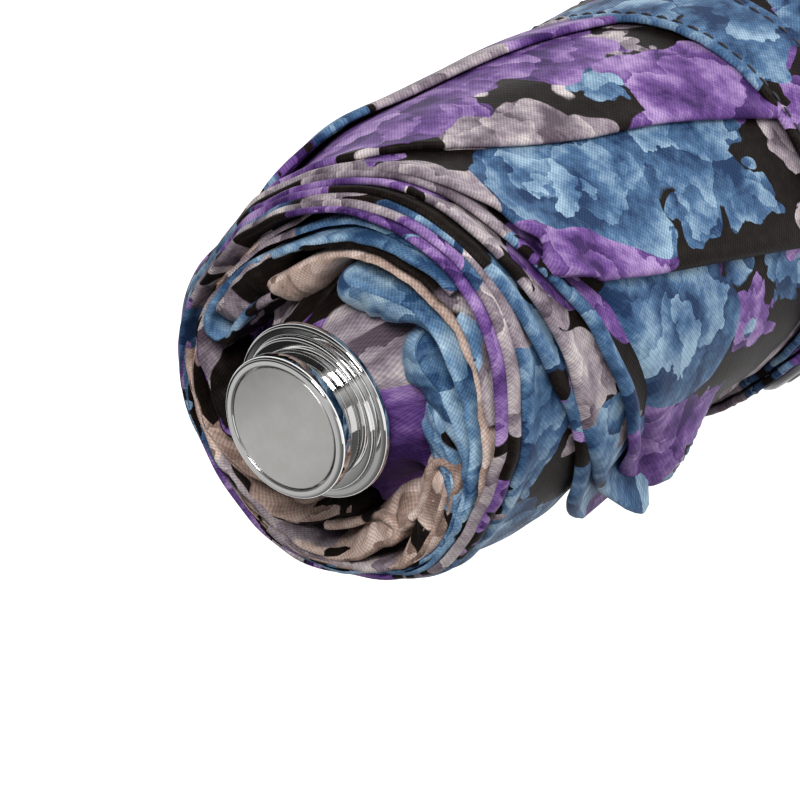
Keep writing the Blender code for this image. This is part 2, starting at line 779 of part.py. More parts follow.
def build_snap(strap, angle, parts, helpers, finish):
    """The snap fastener: a domed cap outside the tab, and the stud it presses on, set in the band."""
    top = 0.0012
    snap_cap = turned(
        "snap_cap",
        [(0.0, top), (SNAP_R * 0.6, top * 0.85), (SNAP_R * 0.92, top * 0.45), (SNAP_R, 0.0), (0.0, 0.0)],
        finish["chrome"],
        parts,
        steps=20,
        closed=False,
    )
    stud_r = 0.0017
    stud_height = STRAP_THICK + 0.0001
    snap_stud = turned(
        "snap_stud",
        [(0.0, stud_height), (stud_r, stud_height), (stud_r, 0.0), (0.0, 0.0)],
        finish["chrome"],
        parts,
        steps=12,
        closed=False,
    )
    direction = Vector((math.cos(angle), math.sin(angle), 0.0))
    turn = direction.to_track_quat("Z", "Y")
    middle = Vector((0.0, 0.0, (STRAP_LOW_Z + STRAP_HIGH_Z) / 2))
    for obj, seat in ((snap_cap, STRAP_R + 2 * STRAP_THICK + 2 * GAP), (snap_stud, STRAP_R)):
        obj.location = direction * seat + middle
        obj.rotation_euler = turn.to_euler()
    hole = rod_mesh("snap_hole", stud_r + GAP, -0.0050, 0.0050, 12)
    hole.transform(Matrix.Translation(direction * STRAP_R + middle) @ turn.to_matrix().to_4x4())
    cut_object(strap, [hole], helpers, "strap_band")


# ---------------------------------------------------------------- assembly

def main():
    clear_scene()
    parts = make_collection("folding_umbrella")
    helpers = make_collection("cutters")
    finish = {
        "chrome": make_material("chrome", (0.80, 0.80, 0.80), 0.06, 1.0),
        "steel": make_material("steel", (0.55, 0.55, 0.57), 0.30, 1.0),
        "black_steel": make_material("black_steel", (0.03, 0.03, 0.035), 0.35, 0.6),
        "nylon": make_material("nylon", (0.02, 0.02, 0.02), 0.50),
        "lacquer": make_material("lacquer", (0.045, 0.020, 0.075), 0.12),
        "cloth": make_material("cloth", (0.22, 0.20, 0.36), 0.60),
    }
    build_handle(parts, helpers, finish)
    build_shaft(parts, helpers, finish)
    build_crown(parts, helpers, finish)
    build_runner(parts, helpers, finish)
    build_arms(parts, helpers, finish)
    build_canopy(parts, finish)
    build_strap(parts, helpers, finish)


main()
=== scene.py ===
"""Looks for the folding umbrella: rolled floral canopy, strap, chrome ferrule, handle and shaft."""

import json
import math

import bmesh
import bpy
import numpy as np
from mathutils import Matrix, Vector


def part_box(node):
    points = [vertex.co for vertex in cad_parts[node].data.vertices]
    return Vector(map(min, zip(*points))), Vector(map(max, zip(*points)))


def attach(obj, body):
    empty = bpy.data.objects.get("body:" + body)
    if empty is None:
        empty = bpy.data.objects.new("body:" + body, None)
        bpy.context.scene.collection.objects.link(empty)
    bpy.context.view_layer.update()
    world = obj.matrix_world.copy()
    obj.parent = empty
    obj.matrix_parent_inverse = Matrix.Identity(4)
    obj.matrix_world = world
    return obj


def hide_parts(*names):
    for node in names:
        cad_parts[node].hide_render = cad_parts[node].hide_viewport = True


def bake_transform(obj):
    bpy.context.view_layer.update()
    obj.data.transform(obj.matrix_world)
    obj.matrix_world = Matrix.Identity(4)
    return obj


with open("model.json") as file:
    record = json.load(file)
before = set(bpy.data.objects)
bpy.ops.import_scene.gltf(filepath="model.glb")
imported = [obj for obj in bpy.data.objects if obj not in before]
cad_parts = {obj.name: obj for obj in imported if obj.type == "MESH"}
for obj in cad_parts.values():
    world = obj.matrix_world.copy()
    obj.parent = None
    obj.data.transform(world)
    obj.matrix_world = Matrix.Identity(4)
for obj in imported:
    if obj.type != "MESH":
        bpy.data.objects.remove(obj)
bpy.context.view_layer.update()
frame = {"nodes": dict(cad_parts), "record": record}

MM = 0.001
nodes = frame["nodes"]

# Heights read from the CAD
FACE_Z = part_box("ferrule_cap")[1].z
HEM_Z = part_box("canopy")[0].z
STRAP_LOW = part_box("strap_band")[0].z
STRAP_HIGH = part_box("strap_band")[1].z
HEM_DEPTH = (FACE_Z - HEM_Z) / MM          # depths are in millimetres behind the cap's face


# -------- small helpers

def smooth(x):
    x = np.clip(x, 0.0, 1.0)
    return x * x * (3.0 - 2.0 * x)


def spline(points, x):
    """A smooth curve through (x, y) points given in rising x, level beyond its ends."""
    xs, ys = np.array(points, float).T
    slopes = np.gradient(ys, xs)
    x = np.clip(np.asarray(x, float), xs[0], xs[-1])
    i = np.clip(np.searchsorted(xs, x) - 1, 0, len(xs) - 2)
    width = xs[i + 1] - xs[i]
    t = (x - xs[i]) / width
    return (
        (2 * t**3 - 3 * t**2 + 1) * ys[i]
        + (t**3 - 2 * t**2 + t) * width * slopes[i]
        + (3 * t**2 - 2 * t**3) * ys[i + 1]
        + (t**3 - t**2) * width * slopes[i + 1]
    )


def turned_from(middle, angle):
    """An angle counted from the middle one, from -180 to 180 degrees."""
    return np.mod(angle - middle + 180.0, 360.0) - 180.0


def ring_spline(points, angle):
    """A smooth closed curve round the roll through (angle in degrees, value) points in rising order."""
    unrolled = [(a + turn, v) for turn in (-360.0, 0.0, 360.0) for a, v in points]
    return spline(unrolled, turned_from(0.0, np.asarray(angle, float)))


def bell(x, width):
    """1 at zero, falling smoothly to nothing on both sides."""
    return np.exp(-((x / width) ** 2))


def column(points, part):
    """The same part of each point, one to a row."""
    return np.array([point[part] for point in points])[:, None]


def stacked(*parts):
    """A grid of points from grids, rows, columns or single values of their parts."""
    return np.stack(np.broadcast_arrays(*parts), -1)


def waves(a, b, seed):
    """Gentle irregular waves from -1 to 1 over two coordinates, the same in each run."""
    rng = np.random.default_rng(seed)
    total = np.zeros(np.broadcast(a, b).shape)
    for k in range(1, 6):
        across, along, phase = rng.uniform(0.6, 1.4, 3)
        total += np.sin(k * across * a + k * 0.7 * along * b + math.tau * phase + k) / k
    return total / 2.0


def quads(grid):
    """The four corners of each cell of a grid, in order round it."""
    return np.stack([grid[:-1, :-1], grid[1:, :-1], grid[1:, 1:], grid[:-1, 1:]], 2)


def cloth_mesh(name, points, faces, material):
    """A mesh from points in millimetres, z as depth behind the cap's face."""
    co = points.reshape(-1, 3) * MM
    co[:, 2] = FACE_Z - co[:, 2]
    mesh = bpy.data.meshes.new(name)
    mesh.from_pydata(co, [], faces)
    mesh.uv_layers.new(name="Print")
    mesh.materials.append(material)
    mesh.shade_smooth()
    return mesh


def grid_mesh(name, points, uvs, material, closed_columns=False):
    """A sheet from a grid of points (rows, columns, 3)."""
    rows, columns = points.shape[:2]
    index = np.arange(rows * columns).reshape(rows, columns)
    if closed_columns:
        index = np.concatenate([index, index[:, :1]], axis=1)
        uvs = np.concatenate([uvs, uvs[:, :1] + (uvs[:, -1:] - uvs[:, -2:-1]) * columns], axis=1)
    mesh = cloth_mesh(name, points, quads(index).reshape(-1, 4).tolist(), material)
    mesh.uv_layers[0].data.foreach_set("uv", quads(uvs).astype(np.float32).ravel())
    return mesh


def placed(name, data):
    """A new object in the scene."""
    obj = bpy.data.objects.new(name, data)
    bpy.context.scene.collection.objects.link(obj)
    return obj


def piece(name, mesh, body, slot, *replaced):
    obj = placed(name, mesh)
    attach(obj, body)
    if replaced:
        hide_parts(*replaced)
    return obj


def joined(name, meshes):
    """One mesh from several, with their materials and UVs."""
    objects = [placed(name, mesh) for mesh in meshes]
    with bpy.context.temp_override(
        active_object=objects[0], selected_editable_objects=objects, selected_objects=objects
    ):
        bpy.ops.object.join()
    mesh = objects[0].data
    mesh.name = name
    bpy.data.objects.remove(objects[0])
    return mesh


def welded(mesh, fill=False):
    """The mesh with its doubled points merged, its open ends filled if asked, and its faces turned out."""
    work = bmesh.new()
    work.from_mesh(mesh)
    bmesh.ops.remove_doubles(work, verts=work.verts, dist=0.001 * MM)
    if fill:
        bmesh.ops.holes_fill(work, edges=[edge for edge in work.edges if edge.is_boundary])
    bmesh.ops.recalc_face_normals(work, faces=work.faces)
    work.to_mesh(mesh)
    work.free()
    return mesh


# -------- materials

class Nodes:
    """Short names for building the node tree of a material or a world."""

    def __init__(self, owner, shader="Principled BSDF"):
        self.owner = owner
        owner.use_nodes = True
        self.tree = owner.node_tree
        self.shader = self.tree.nodes[shader]

    def add(self, kind, inputs=None, **settings):
        node = self.tree.nodes.new(kind)
        for key, value in settings.items():
            setattr(node, key, value)
        for key, value in (inputs or {}).items():
            self.put(value, node.inputs[key])
        return node

    def put(self, value, socket):
        if isinstance(value, bpy.types.NodeSocket):
            self.tree.links.new(value, socket)
        else:
            socket.default_value = value

    def math(self, operation, *values):
        return self.add("ShaderNodeMath", dict(enumerate(values)), operation=operation).outputs[0]

    def vector(self, operation, *values):
        node = self.add("ShaderNodeVectorMath", dict(enumerate(values)), operation=operation)
        return node.outputs[1] if operation == "LENGTH" else node.outputs[0]

    def shaken(self, place, noise, reach):
        """The place moved about by a noise's colour."""
        shake = self.vector("SUBTRACT", noise, (0.5, 0.5, 0.5))
        move = self.add("ShaderNodeVectorMath", {0: shake, "Scale": reach}, operation="SCALE")
        return self.vector("ADD", place, move.outputs[0])

    def mix(self, share, a, b, blend="MIX"):
        inputs = {0: share, 6: a, 7: b}
        return self.add("ShaderNodeMix", inputs, data_type="RGBA", blend_type=blend).outputs[2]

    def fit(self, value, factor, offset):
        """The value times the factor plus the offset."""
        return self.math("MULTIPLY_ADD", value, factor, offset)

    def ramp(self, value, stops):
        """Colours that run through (position, colour) stops."""
        node = self.add("ShaderNodeValToRGB", {0: value})
        elements = node.color_ramp.elements
        while len(elements) < len(stops):
            elements.new(1.0)
        for element, (position, colour) in zip(elements, stops):
            element.position = position
            element.color = (*colour, 1.0)
        return node.outputs[0]

    def step(self, value, low, high):
        """0 below low, 1 above high, smooth between; low may be above high."""
        inputs = {"Value": value, "From Min": low, "From Max": high}
        return self.add("ShaderNodeMapRange", inputs, interpolation_type="SMOOTHSTEP").outputs[0]

    def noise(self, vector, scale, detail=3.0, roughness=0.5):
        inputs = {"Vector": vector, "Scale": scale, "Detail": detail, "Roughness": roughness}
        return self.add("ShaderNodeTexNoise", inputs)

    def cells(self, vector, scale, randomness):
        inputs = {"Vector": vector, "Scale": scale, "Randomness": randomness}
        return self.add("ShaderNodeTexVoronoi", inputs, voronoi_dimensions="2D")

    def place(self):
        return self.add("ShaderNodeTexCoord").outputs["Object"]

    def bump(self, height, strength, distance, normal=None):
        inputs = {"Height": height, "Strength": strength, "Distance": distance}
        if normal is not None:
            inputs["Normal"] = normal
        return self.add("ShaderNodeBump", inputs).outputs[0]

    def finish(self, **sockets):
        for key, value in sockets.items():
            self.put(value, self.shader.inputs[key.replace("_", " ")])
        return self.owner


def new_material(name):
    return Nodes(bpy.data.materials.new(name))


def srgb(red, green, blue):
    """An 8-bit sRGB colour as linear values."""
    return tuple(((c / 255 + 0.055) / 1.055) ** 2.4 if c > 10 else c / 255 / 12.92
                 for c in (red, green, blue))


NIGHT = srgb(18, 13, 11)
PURPLES = (srgb(56, 34, 84), srgb(104, 72, 134), srgb(166, 138, 186))
BLUES = (srgb(32, 52, 84), srgb(70, 100, 134), srgb(142, 168, 188))
GREYS = (srgb(86, 74, 84), srgb(142, 130, 138), srgb(200, 190, 188))
# SKIES and TANS are light palettes for the folds round the cap: partly the cloth's real paler colours, partly
# painted light that lifts the shaded mouth
SKIES = (srgb(46, 74, 110), srgb(98, 132, 166), srgb(174, 200, 218))
TANS = (srgb(124, 102, 92), srgb(184, 159, 147), srgb(226, 206, 196))


def flower_layer(n, place, scale, reach, shift):
    """Flower heads at random places: their mask, random values, place in the pattern and hearts."""
    shifted = n.vector("ADD", place, (shift, shift * 0.7, 0.0))
    cell = n.cells(shifted, scale, 0.9)
    pick = n.add("ShaderNodeSeparateColor", {0: cell.outputs["Color"]})
    scallop = n.cells(shifted, scale * 3.4, 0.8)
    ragged = n.noise(shifted, scale * 4.0, 1.6, 0.5).outputs[0]
    edge = n.fit(scallop.outputs["Distance"], -0.30, reach)
    edge = n.math("ADD", edge, n.fit(ragged, 0.34, -0.17))
    mask = n.step(n.math("SUBTRACT", edge, cell.outputs["Distance"]), 0.0, 0.012)
    return mask, pick, shifted, cell.outputs["Position"]


def petal_shade(n, spot, heart, scale, fine, blotch, rag):
    """Light and dark in a flower: petals round its heart, each darker at its base than at its rim."""
    bent = n.shaken(n.shaken(spot, blotch.outputs[1], 0.010), rag, 0.0030)
    petal = n.cells(bent, scale, 1.0)
    tone = n.add("ShaderNodeSeparateColor", {0: petal.outputs["Color"]})
    out = n.vector("LENGTH", n.vector("SUBTRACT", bent, heart))
    middle = n.vector("LENGTH", n.vector("SUBTRACT", petal.outputs["Position"], heart))
    rise = n.math("MULTIPLY", n.math("SUBTRACT", out, middle), scale * 0.46)
    shade = n.math("ADD", n.fit(tone.outputs[0], 0.20, 0.37), rise)
    shade = n.math("ADD", shade, n.fit(blotch.outputs[0], 1.7, -0.85))
    return n.math("ADD", shade, n.fit(fine, 0.9, -0.45))


def twill(n, uv, turn, scale):
    """Fine diagonal ribs across the cloth."""
    turned = n.add("ShaderNodeMapping", {"Vector": uv, "Rotation": (0.0, 0.0, math.radians(turn))})
    return n.add(
        "ShaderNodeTexWave",
        {"Vector": turned.outputs[0], "Scale": scale, "Distortion": 0.6, "Detail": 1.0},
        wave_type="BANDS",
        bands_direction="X",
    ).outputs["Fac"]


def make_print(name, palettes, size=1.0, cover=0.585):
    """The floral print on satin twill, in three palettes of (deep, middle, light) colours. A smaller
    size gives larger flowers, a greater cover leaves less of the dark ground."""
    n = new_material(name)
    uv = n.add("ShaderNodeUVMap", uv_map="Print").outputs[0]
    place = n.shaken(uv, n.noise(uv, 60.0, 2.0).outputs[1], 0.010)
    fine = n.noise(uv, 640.0, 4.0, 0.65).outputs[0]
    blotch = n.noise(uv, 150.0, 2.0, 0.5)
    rag = n.noise(uv, 420.0, 3.0, 0.6).outputs[1]

    def painted_petals(hue, shade):
        colours = [n.ramp(shade, list(zip((0.08, 0.45, 0.95), palette))) for palette in palettes]
        first = n.mix(n.step(hue, 0.40, 0.401), colours[0], colours[1])
        return n.mix(n.step(hue, 0.66, 0.661), first, colours[2])

    big, big_pick, big_spot, big_heart = flower_layer(n, place, 33.0 * size, cover, 0.0)
    small, small_pick, small_spot, small_heart = flower_layer(n, place, 76.0 * size, 0.50, 3.1)
    ground = n.mix(n.step(fine, 0.35, 0.75), (*NIGHT, 1.0), (*srgb(32, 26, 23), 1.0))
    small_hue = n.math("FRACT", n.math("ADD", small_pick.outputs[0], 0.35))
    small_shade = petal_shade(n, small_spot, small_heart, 260.0, fine, blotch, rag)
    big_shade = petal_shade(n, big_spot, big_heart, 165.0 * size, fine, blotch, rag)
    back = n.mix(small, ground, painted_petals(small_hue, small_shade))
    print_colour = n.mix(big, back, painted_petals(big_pick.outputs[0], big_shade))

    threads = twill(n, uv, 38.0, 780.0)
    threads = n.fit(twill(n, uv, -52.0, 560.0), 0.35, n.math("MULTIPLY", threads, 0.65))
    lit = n.fit(threads, 0.54, 0.69)
    shine = n.add("ShaderNodeCombineColor", {0: lit, 1: lit, 2: lit}).outputs[0]
    woven = n.mix(1.0, print_colour, shine, "MULTIPLY")
    crease = n.noise(uv, 180.0, 3.0, 0.55).outputs[0]
    normal = n.bump(crease, 0.25, 0.0006)
    normal = n.bump(threads, 0.35, 0.00012, normal)
    return n.finish(
        Base_Color=woven,
        Roughness=n.fit(fine, 0.16, 0.38),
        Normal=normal,
        Sheen_Weight=0.01,
        Sheen_Roughness=0.35,
        Specular_IOR_Level=0.05,
    )


def make_metal(name, colour, roughness, wear_scale, wear):
    n = new_material(name)
    worn = n.step(n.noise(n.place(), wear_scale, 4.0, 0.6).outputs[0], 0.45, 0.8)
    return n.finish(Base_Color=(*colour, 1.0), Roughness=n.fit(worn, wear, roughness), Metallic=1.0)


def make_disc(name):
    """The cap's disc: fine satin chrome."""
    n = new_material(name)
    place = n.place()
    grain = n.noise(place, 9000.0, 2.0, 0.7).outputs[0]
    cloud = n.noise(place, 300.0, 3.0, 0.6).outputs[0]
    colour = n.mix(n.step(cloud, 0.35, 0.7), (*srgb(232, 230, 226), 1.0), (*srgb(240, 238, 235), 1.0))
    return n.finish(
        Base_Color=colour,
        Roughness=n.fit(grain, 0.06, 0.26),
        Normal=n.bump(grain, 0.03, 0.00003),
        Metallic=1.0,
    )


def make_plastic(name, colour, roughness, grain_scale, grain):
    n = new_material(name)
    texture = n.noise(n.place(), grain_scale, 3.0, 0.6).outputs[0]
    rough = n.fit(texture, 0.10, roughness)
    return n.finish(Base_Color=(*colour, 1.0), Roughness=rough, Normal=n.bump(texture, grain, 0.0001))


# -------- the rolled cloth

# The roll's outer radius by depth behind the cap's face
ROLL = [(9, 28.4), (12, 28.9), (16, 29.4), (24, 30), (36, 30.6), (50, 31), (64, 31.1), (76, 30.7),
        (82, 30.2), (94, 30.2), (100, 30.8), (120, 30.8), (150, 30), (175, 28.8), (195, 27.6), (205, 27)]
TWIST = 0.55            # degrees of helical lean per millimetre of depth
LEAN_FROM = 20.0        # the depth where the lean is nothing
MEAN_RADIUS = 28.0      # turns the roll's angles into lengths
PRINT_RADIUS = 0.029    # turns them into lengths of the print, in metres
DRAPE = 3.4             # how far past a leaf's free edge the cloth over it comes down, in millimetres
DRAPE_ANGLE = 10.0      # a little more than that, in degrees


class Leaf:
    """One folded leaf of the canopy, wound clockwise round the roll, seen from the cap, from its root angle
    to its tip. lip gives the depth of its folded top edge by angle, tip the angle of its free edge by
    depth, and hem how far it ends short of the roll's foot. loose is a corner that stands off the roll: its
    height, angle and depth, and its reach round the roll, before that depth and behind it. twist curls the
    corner, and groove is the crease behind the top edge. A share runs from 0 at the root to 1 at the tip."""

    def __init__(self, root, lip, tip, thick, seed, hem, loose=None, twist=0.0, groove=0.0, colourway=0):
        self.root, self.thick, self.seed, self.loose = root, thick, seed, loose
        self.twist, self.groove, self.colourway = twist, groove, colourway
        self.lip_points = sorted(lip)
        self.tip_points = sorted(tip)
        self.corner = self.tip_points[0]
        self.print_at = (seed * 0.37 + 0.651, seed * 0.113 + 0.4557)
        self.hem = HEM_DEPTH - hem

    def tip_at(self, depth):
        return spline(self.tip_points, depth)

    def root_at(self, depth):
        return self.root - TWIST * (np.asarray(depth) - LEAN_FROM)

    def angle(self, share, depth):
        root = self.root_at(depth)
        return root + share * (self.tip_at(depth) - root)

    def lip(self, share):
        across = self.root + share * (self.corner[1] - self.root)
        return spline(self.lip_points, across)

    def share(self, angle, depth):
        tip = self.tip_at(depth)
        wrapped = tip - DRAPE_ANGLE + np.mod(angle - tip + DRAPE_ANGLE, 360.0)
        return (self.root_at(depth) - wrapped) / (self.root_at(depth) - tip)

    def presence(self, angle, depth):
        """1 where the leaf lies, 0 where it doesn't, smooth across its edges."""
        share = self.share(angle, depth)
        span = np.radians(self.root_at(depth) - self.tip_at(depth)) * MEAN_RADIUS
        near_tip = smooth(((1.0 - share) * span + DRAPE) / (DRAPE + 0.6))
        near_root = smooth(share * span / 22.0)
        near_lip = smooth((depth - self.lip(np.clip(share, 0.0, 1.0))) / 2.2)
        return near_tip * near_root * near_lip

    def lift(self, angle, depth):
        """How far the leaf's loose corner stands off the roll."""
        if self.loose is None:
            return 0.0
        height, at_angle, at_depth, around, before, after = self.loose
        behind = depth - at_depth
        reach = np.where(behind < 0.0, before, after)
        return height * bell(behind, reach) * bell(turned_from(at_angle, angle), around)


# From the innermost to the outermost
LEAVES = [
    Leaf(146, [(-165, 14), (-120, 12.6), (-60, 12.2), (-20, 12.6), (30, 11.8), (80, 11.2), (120, 11.4)],
         [(14, -165), (204, -262)], 1.05, 11, 3),
    Leaf(152, [(-140, 16), (-110, 14), (-60, 13.2), (-20, 14.3), (20, 13.6), (60, 12.2), (120, 11.6)],
         [(16, -140), (204, -240)], 1.15, 12, 1),
    Leaf(158, [(-122, 18), (-90, 16.2), (-58, 16), (-21, 16.3), (10, 15.6), (60, 13), (120, 12)],
         [(18, -122), (204, -222)], 0.95, 13, 4, colourway=3),
    Leaf(166, [(-94, 48), (-92, 42), (-87, 36.5), (-76, 31.5), (-63, 29.5), (-49, 27), (-39, 25.5), (-26, 22),
               (-9, 18.5), (1, 17), (40, 15.2), (80, 13.2), (130, 12)],
         [(48, -94), (52, -96), (60, -100), (90, -120), (204, -206)], 1.20, 14, 2,
         loose=(3.6, -90, 47, 14, 15, 6), colourway=1),
    Leaf(176, [(-88, 48.5), (-82, 41.5), (-72, 35.5), (-59, 31), (-49, 28), (-36, 26), (-28, 25), (-16, 23.5),
               (-7, 22), (0, 20.6), (40, 17.4), (80, 14.4), (140, 12.2)],
         [(48.5, -88), (53, -80), (60, -72), (70, -74), (90, -96), (204, -176)], 1.30, 15, 0.5,
         loose=(7.3, -88, 48.5, 9, 12, 2.5), colourway=2),
    Leaf(190, [(-87, 54), (-84, 48), (-78, 44), (-65, 39.5), (-51, 36), (-42, 34.5), (-33, 32.5), (-24, 30.5),
               (-13, 29), (-4, 26.5), (40, 19.6), (80, 15.8), (150, 12.6)],
         [(54, -87), (60, -90), (70, -92), (84, -96), (110, -108), (204, -150)], 1.25, 16, 3.5,
         loose=(5.7, -84, 55, 14, 7, 7), groove=2.6, colourway=1),
    Leaf(214, [(-6, 30), (-3, 27.2), (10, 26.4), (17, 25.6), (29, 22.6), (42, 20.4), (75, 17.2), (150, 13),
               (200, 12.2)],
         [(30, -6), (38.5, -11), (59.5, -21), (74, -28), (100, -44), (204, -104)], 1.35, 17, 1.5, twist=1.3,
         colourway=1),
    Leaf(250, [(44, 30), (54, 25.6), (63, 22.2), (90, 18.6), (140, 14), (200, 12.4)],
         [(30, 44), (36.5, 35), (47.5, 25), (59, 19), (78, 6), (100, -8), (204, -62)], 1.35, 18, 2.5),
    Leaf(262, [(86, 30), (91, 23.6), (104, 20), (118, 15.4), (140, 13.4), (200, 12.2), (240, 12.4)],
         [(30, 86), (36, 84), (43.5, 79), (60, 70), (78, 60), (100, 48), (204, -12)], 1.30, 19, 0,
         loose=(1.4, 87, 25, 11, 9, 14)),
]


# The top outline of the roll, 14 mm behind the cap's face, and the mouth round the ferrule: (angle, radius)
TOP_DEPTH = 14.0
TOP_OUTLINE = [(-170, 29.8), (-148, 29.2), (-120, 27), (-94, 25.6), (-66, 24.8), (-38, 26.1), (-16, 27.8),
               (3, 29.9), (20, 30.8), (49, 28.9), (68, 27.1), (110, 26.8), (132, 28.4), (153, 29.8)]
MOUTH = [(-170, 27.4), (-150, 26.8), (-120, 25), (-94, 24), (-70, 23), (-42, 21.4), (-16, 21.8),
         (6, 22.6), (31, 22.3), (58, 20.6), (90, 20.9), (126, 23.8), (150, 26.4), (170, 27.6)]
# How tightly the leaves are squeezed together at the top, by angle
SQUEEZE = [(-170, 0.32), (-120, 0.36), (-94, 0.42), (-66, 0.6), (-38, 0.85), (0, 1), (30, 1), (60, 0.8),
           (100, 0.6), (140, 0.45), (165, 0.36)]
# How far the roll's underside is pressed in, by depth
PRESS = [(14, 0), (24, 0.6), (32, 1.6), (42, 3.6), (52, 4.4), (66, 4.7), (78, 4.2), (86, 3.6),
         (96, 3.6), (120, 2), (150, 0.4), (170, 0)]
STACK_STEP = 3.0        # the evened stack is sampled this often, in degrees and millimetres


def stack_height(angle, depth, leaves):
    """The total thickness of the given leaves where they lie."""
    total = np.zeros(np.broadcast(angle, depth).shape)
    for leaf in leaves:
        total = total + leaf.thick * leaf.presence(angle, depth)
    top = 1.0 - smooth((depth - 16.0) / 26.0)
    return total * (1.0 - (1.0 - ring_spline(SQUEEZE, angle)) * top)


def blurred(values, reach, axis, wrap):
    """Values averaged over their neighbours along an axis with a bell-shaped weight."""
    steps = np.arange(-40, 41)
    weights = bell(steps * STACK_STEP, reach)
    weights /= weights.sum()
    count = values.shape[axis]
    total = np.zeros_like(values)
    for step, weight in zip(steps, weights):
        index = np.arange(count) - step
        index = np.mod(index, count) if wrap else np.clip(index, 0, count - 1)
        total += weight * np.take(values, index, axis=axis)
    return total


def settled_stack():
    """The whole stack's thickness by angle and depth, evened out round and along the roll."""
    depths = np.arange(6.0, HEM_DEPTH + 6.0, STACK_STEP)
    around = np.arange(0.0, 360.0, STACK_STEP)
    heights = stack_height(around[:, None], depths[None, :], LEAVES)
    return depths, blurred(blurred(heights, 30.0, 0, True), 9.0, 1, False)


def even_stack(angle, depth):
    """The evened stack at any place."""
    depths, spread = STACK
    count = len(spread)
    turned = np.mod(angle, 360.0) / STACK_STEP
    level = np.clip((depth - depths[0]) / STACK_STEP, 0.0, len(depths) - 1.001)
    i, k = np.floor(turned).astype(int) % count, np.floor(level).astype(int)
    u, v = turned - np.floor(turned), level - k
    low, high = (spread[i, d] * (1 - u) + spread[(i + 1) % count, d] * u for d in (k, k + 1))
    return low * (1 - v) + high * v


def press(angle, depth):
    """How far the strap draws the roll in, in millimetres: flat on its underside, and a little above."""
    drawn_in = 1.5 * bell(turned_from(68.0, angle), 28.0) * bell(depth - 86.0, 15.0)
    return spline(PRESS, depth) * bell(turned_from(-86.0, angle), 34.0) + drawn_in


def notch(angle, depth):
    """How far the roll falls in beside the outermost leaf's corner, in millimetres."""
    return 1.5 * bell(turned_from(109.0, angle), 15.0) * bell(depth - 20.0, 9.0)


def outer_radius(angle, depth):
    """The roll's size: its uneven outline at the top, settling to the round roll under the strap."""
    top = ring_spline(TOP_OUTLINE, angle) - 0.12 * (TOP_DEPTH - depth).clip(0.0)
    settled = spline(ROLL, depth) - press(angle, depth)
    return top + (settled - top) * smooth((depth - TOP_DEPTH + 2.0) / 26.0) - notch(angle, depth)


def base_radius(angle, depth):
    """The radius under all the leaves, with soft long folds."""
    angle, depth = np.broadcast_arrays(np.asarray(angle, float), np.asarray(depth, float))
    a = np.radians(angle + TWIST * depth)
    folds = 0.35 * waves(a * 3.0, depth / 34.0, 5) + 0.25 * waves(a * 7.0, depth / 60.0, 6)
    away = np.minimum(1.0, np.abs(depth - 87.0) / 22.0)
    return outer_radius(angle, depth) - even_stack(angle, depth) + folds * (0.25 + 0.75 * away)


STACK = settled_stack()

# A leaf's rounded edge: how far in from the edge, and the share of the leaf's thickness there
RIM = [(5.0, 0.0), (2.0, 0.0), (0.62, 0.0), (0.25, 0.10), (0.07, 0.28), (0.0, 0.5), (0.07, 0.72),
       (0.25, 0.90), (0.62, 1.0), (1.2, 1.0)]


def leaf_mesh(index, leaf, materials):
    """The leaf's folded sheet: a short inner wall, the rounded edge, then the outer wall to the hem."""
    arc = leaf.root - leaf.corner[1]
    span = math.radians(arc) * MEAN_RADIUS
    rim_offset, rim_rise = np.array(RIM).T
    edge = (1.0 - rim_offset / span)[::-1]
    inner = np.linspace(0.0, 1.0, max(24, int(arc / 2.0)))
    inner = inner[inner < edge[0]]
    share = np.concatenate([inner, edge])
    column_rise = np.concatenate([np.ones(len(inner)), rim_rise[::-1]])
    wall = np.concatenate([np.arange(2.0, 22.0, 1.25), np.arange(22.0, leaf.hem, 3.4)])
    down = np.concatenate([rim_offset, wall])[:, None]
    row_rise = np.concatenate([rim_rise, np.ones(len(wall))])[:, None]

    lip = leaf.lip(share)
    room = (leaf.hem - lip) / down[-1]
    depth = lip + down * (1.0 + (room - 1.0) * smooth((down - 3.0) / 40.0))
    angle = leaf.angle(share, depth)
    below = stack_height(angle, depth, LEAVES[:index])
    rise = np.minimum(row_rise, column_rise) * smooth((share * span + 0.01) / 7.0)
    curl = 0.10 * waves(np.radians(angle) * 6.0, depth / 9.0, leaf.seed)
    from_tip = (1.0 - share) * span
    rolled = bell(down - 1.5, 1.5) + bell(from_tip - 1.2, 1.2)
    spread = smooth((40.0 - angle) / 50.0) * smooth((angle + 125.0) / 30.0)
    curl = curl + (0.12 + 0.75 * spread) * rolled.clip(0.0, 1.0)
    near_corner = np.exp(-(from_tip**2 + down**2) / 90.0)
    curl = curl + leaf.twist * near_corner * (0.8 + np.cos((from_tip - 0.7 * down) * 0.95))
    curl = curl + leaf.lift(angle, depth)
    curl = curl - leaf.groove * bell(down - 5.0, 1.8) * spread * smooth((from_tip - 3.0) / 9.0)
    radius = base_radius(angle, depth) + below + 0.12 + (leaf.thick - 0.12) * rise + curl
    turn = np.radians(angle)
    points = stacked(radius * np.cos(turn), radius * np.sin(turn), depth)
    uvs = stacked(turn * PRINT_RADIUS + leaf.print_at[0], depth * MM + leaf.print_at[1])
    return grid_mesh(f"leaf_{index}", points, uvs, materials[leaf.colourway])
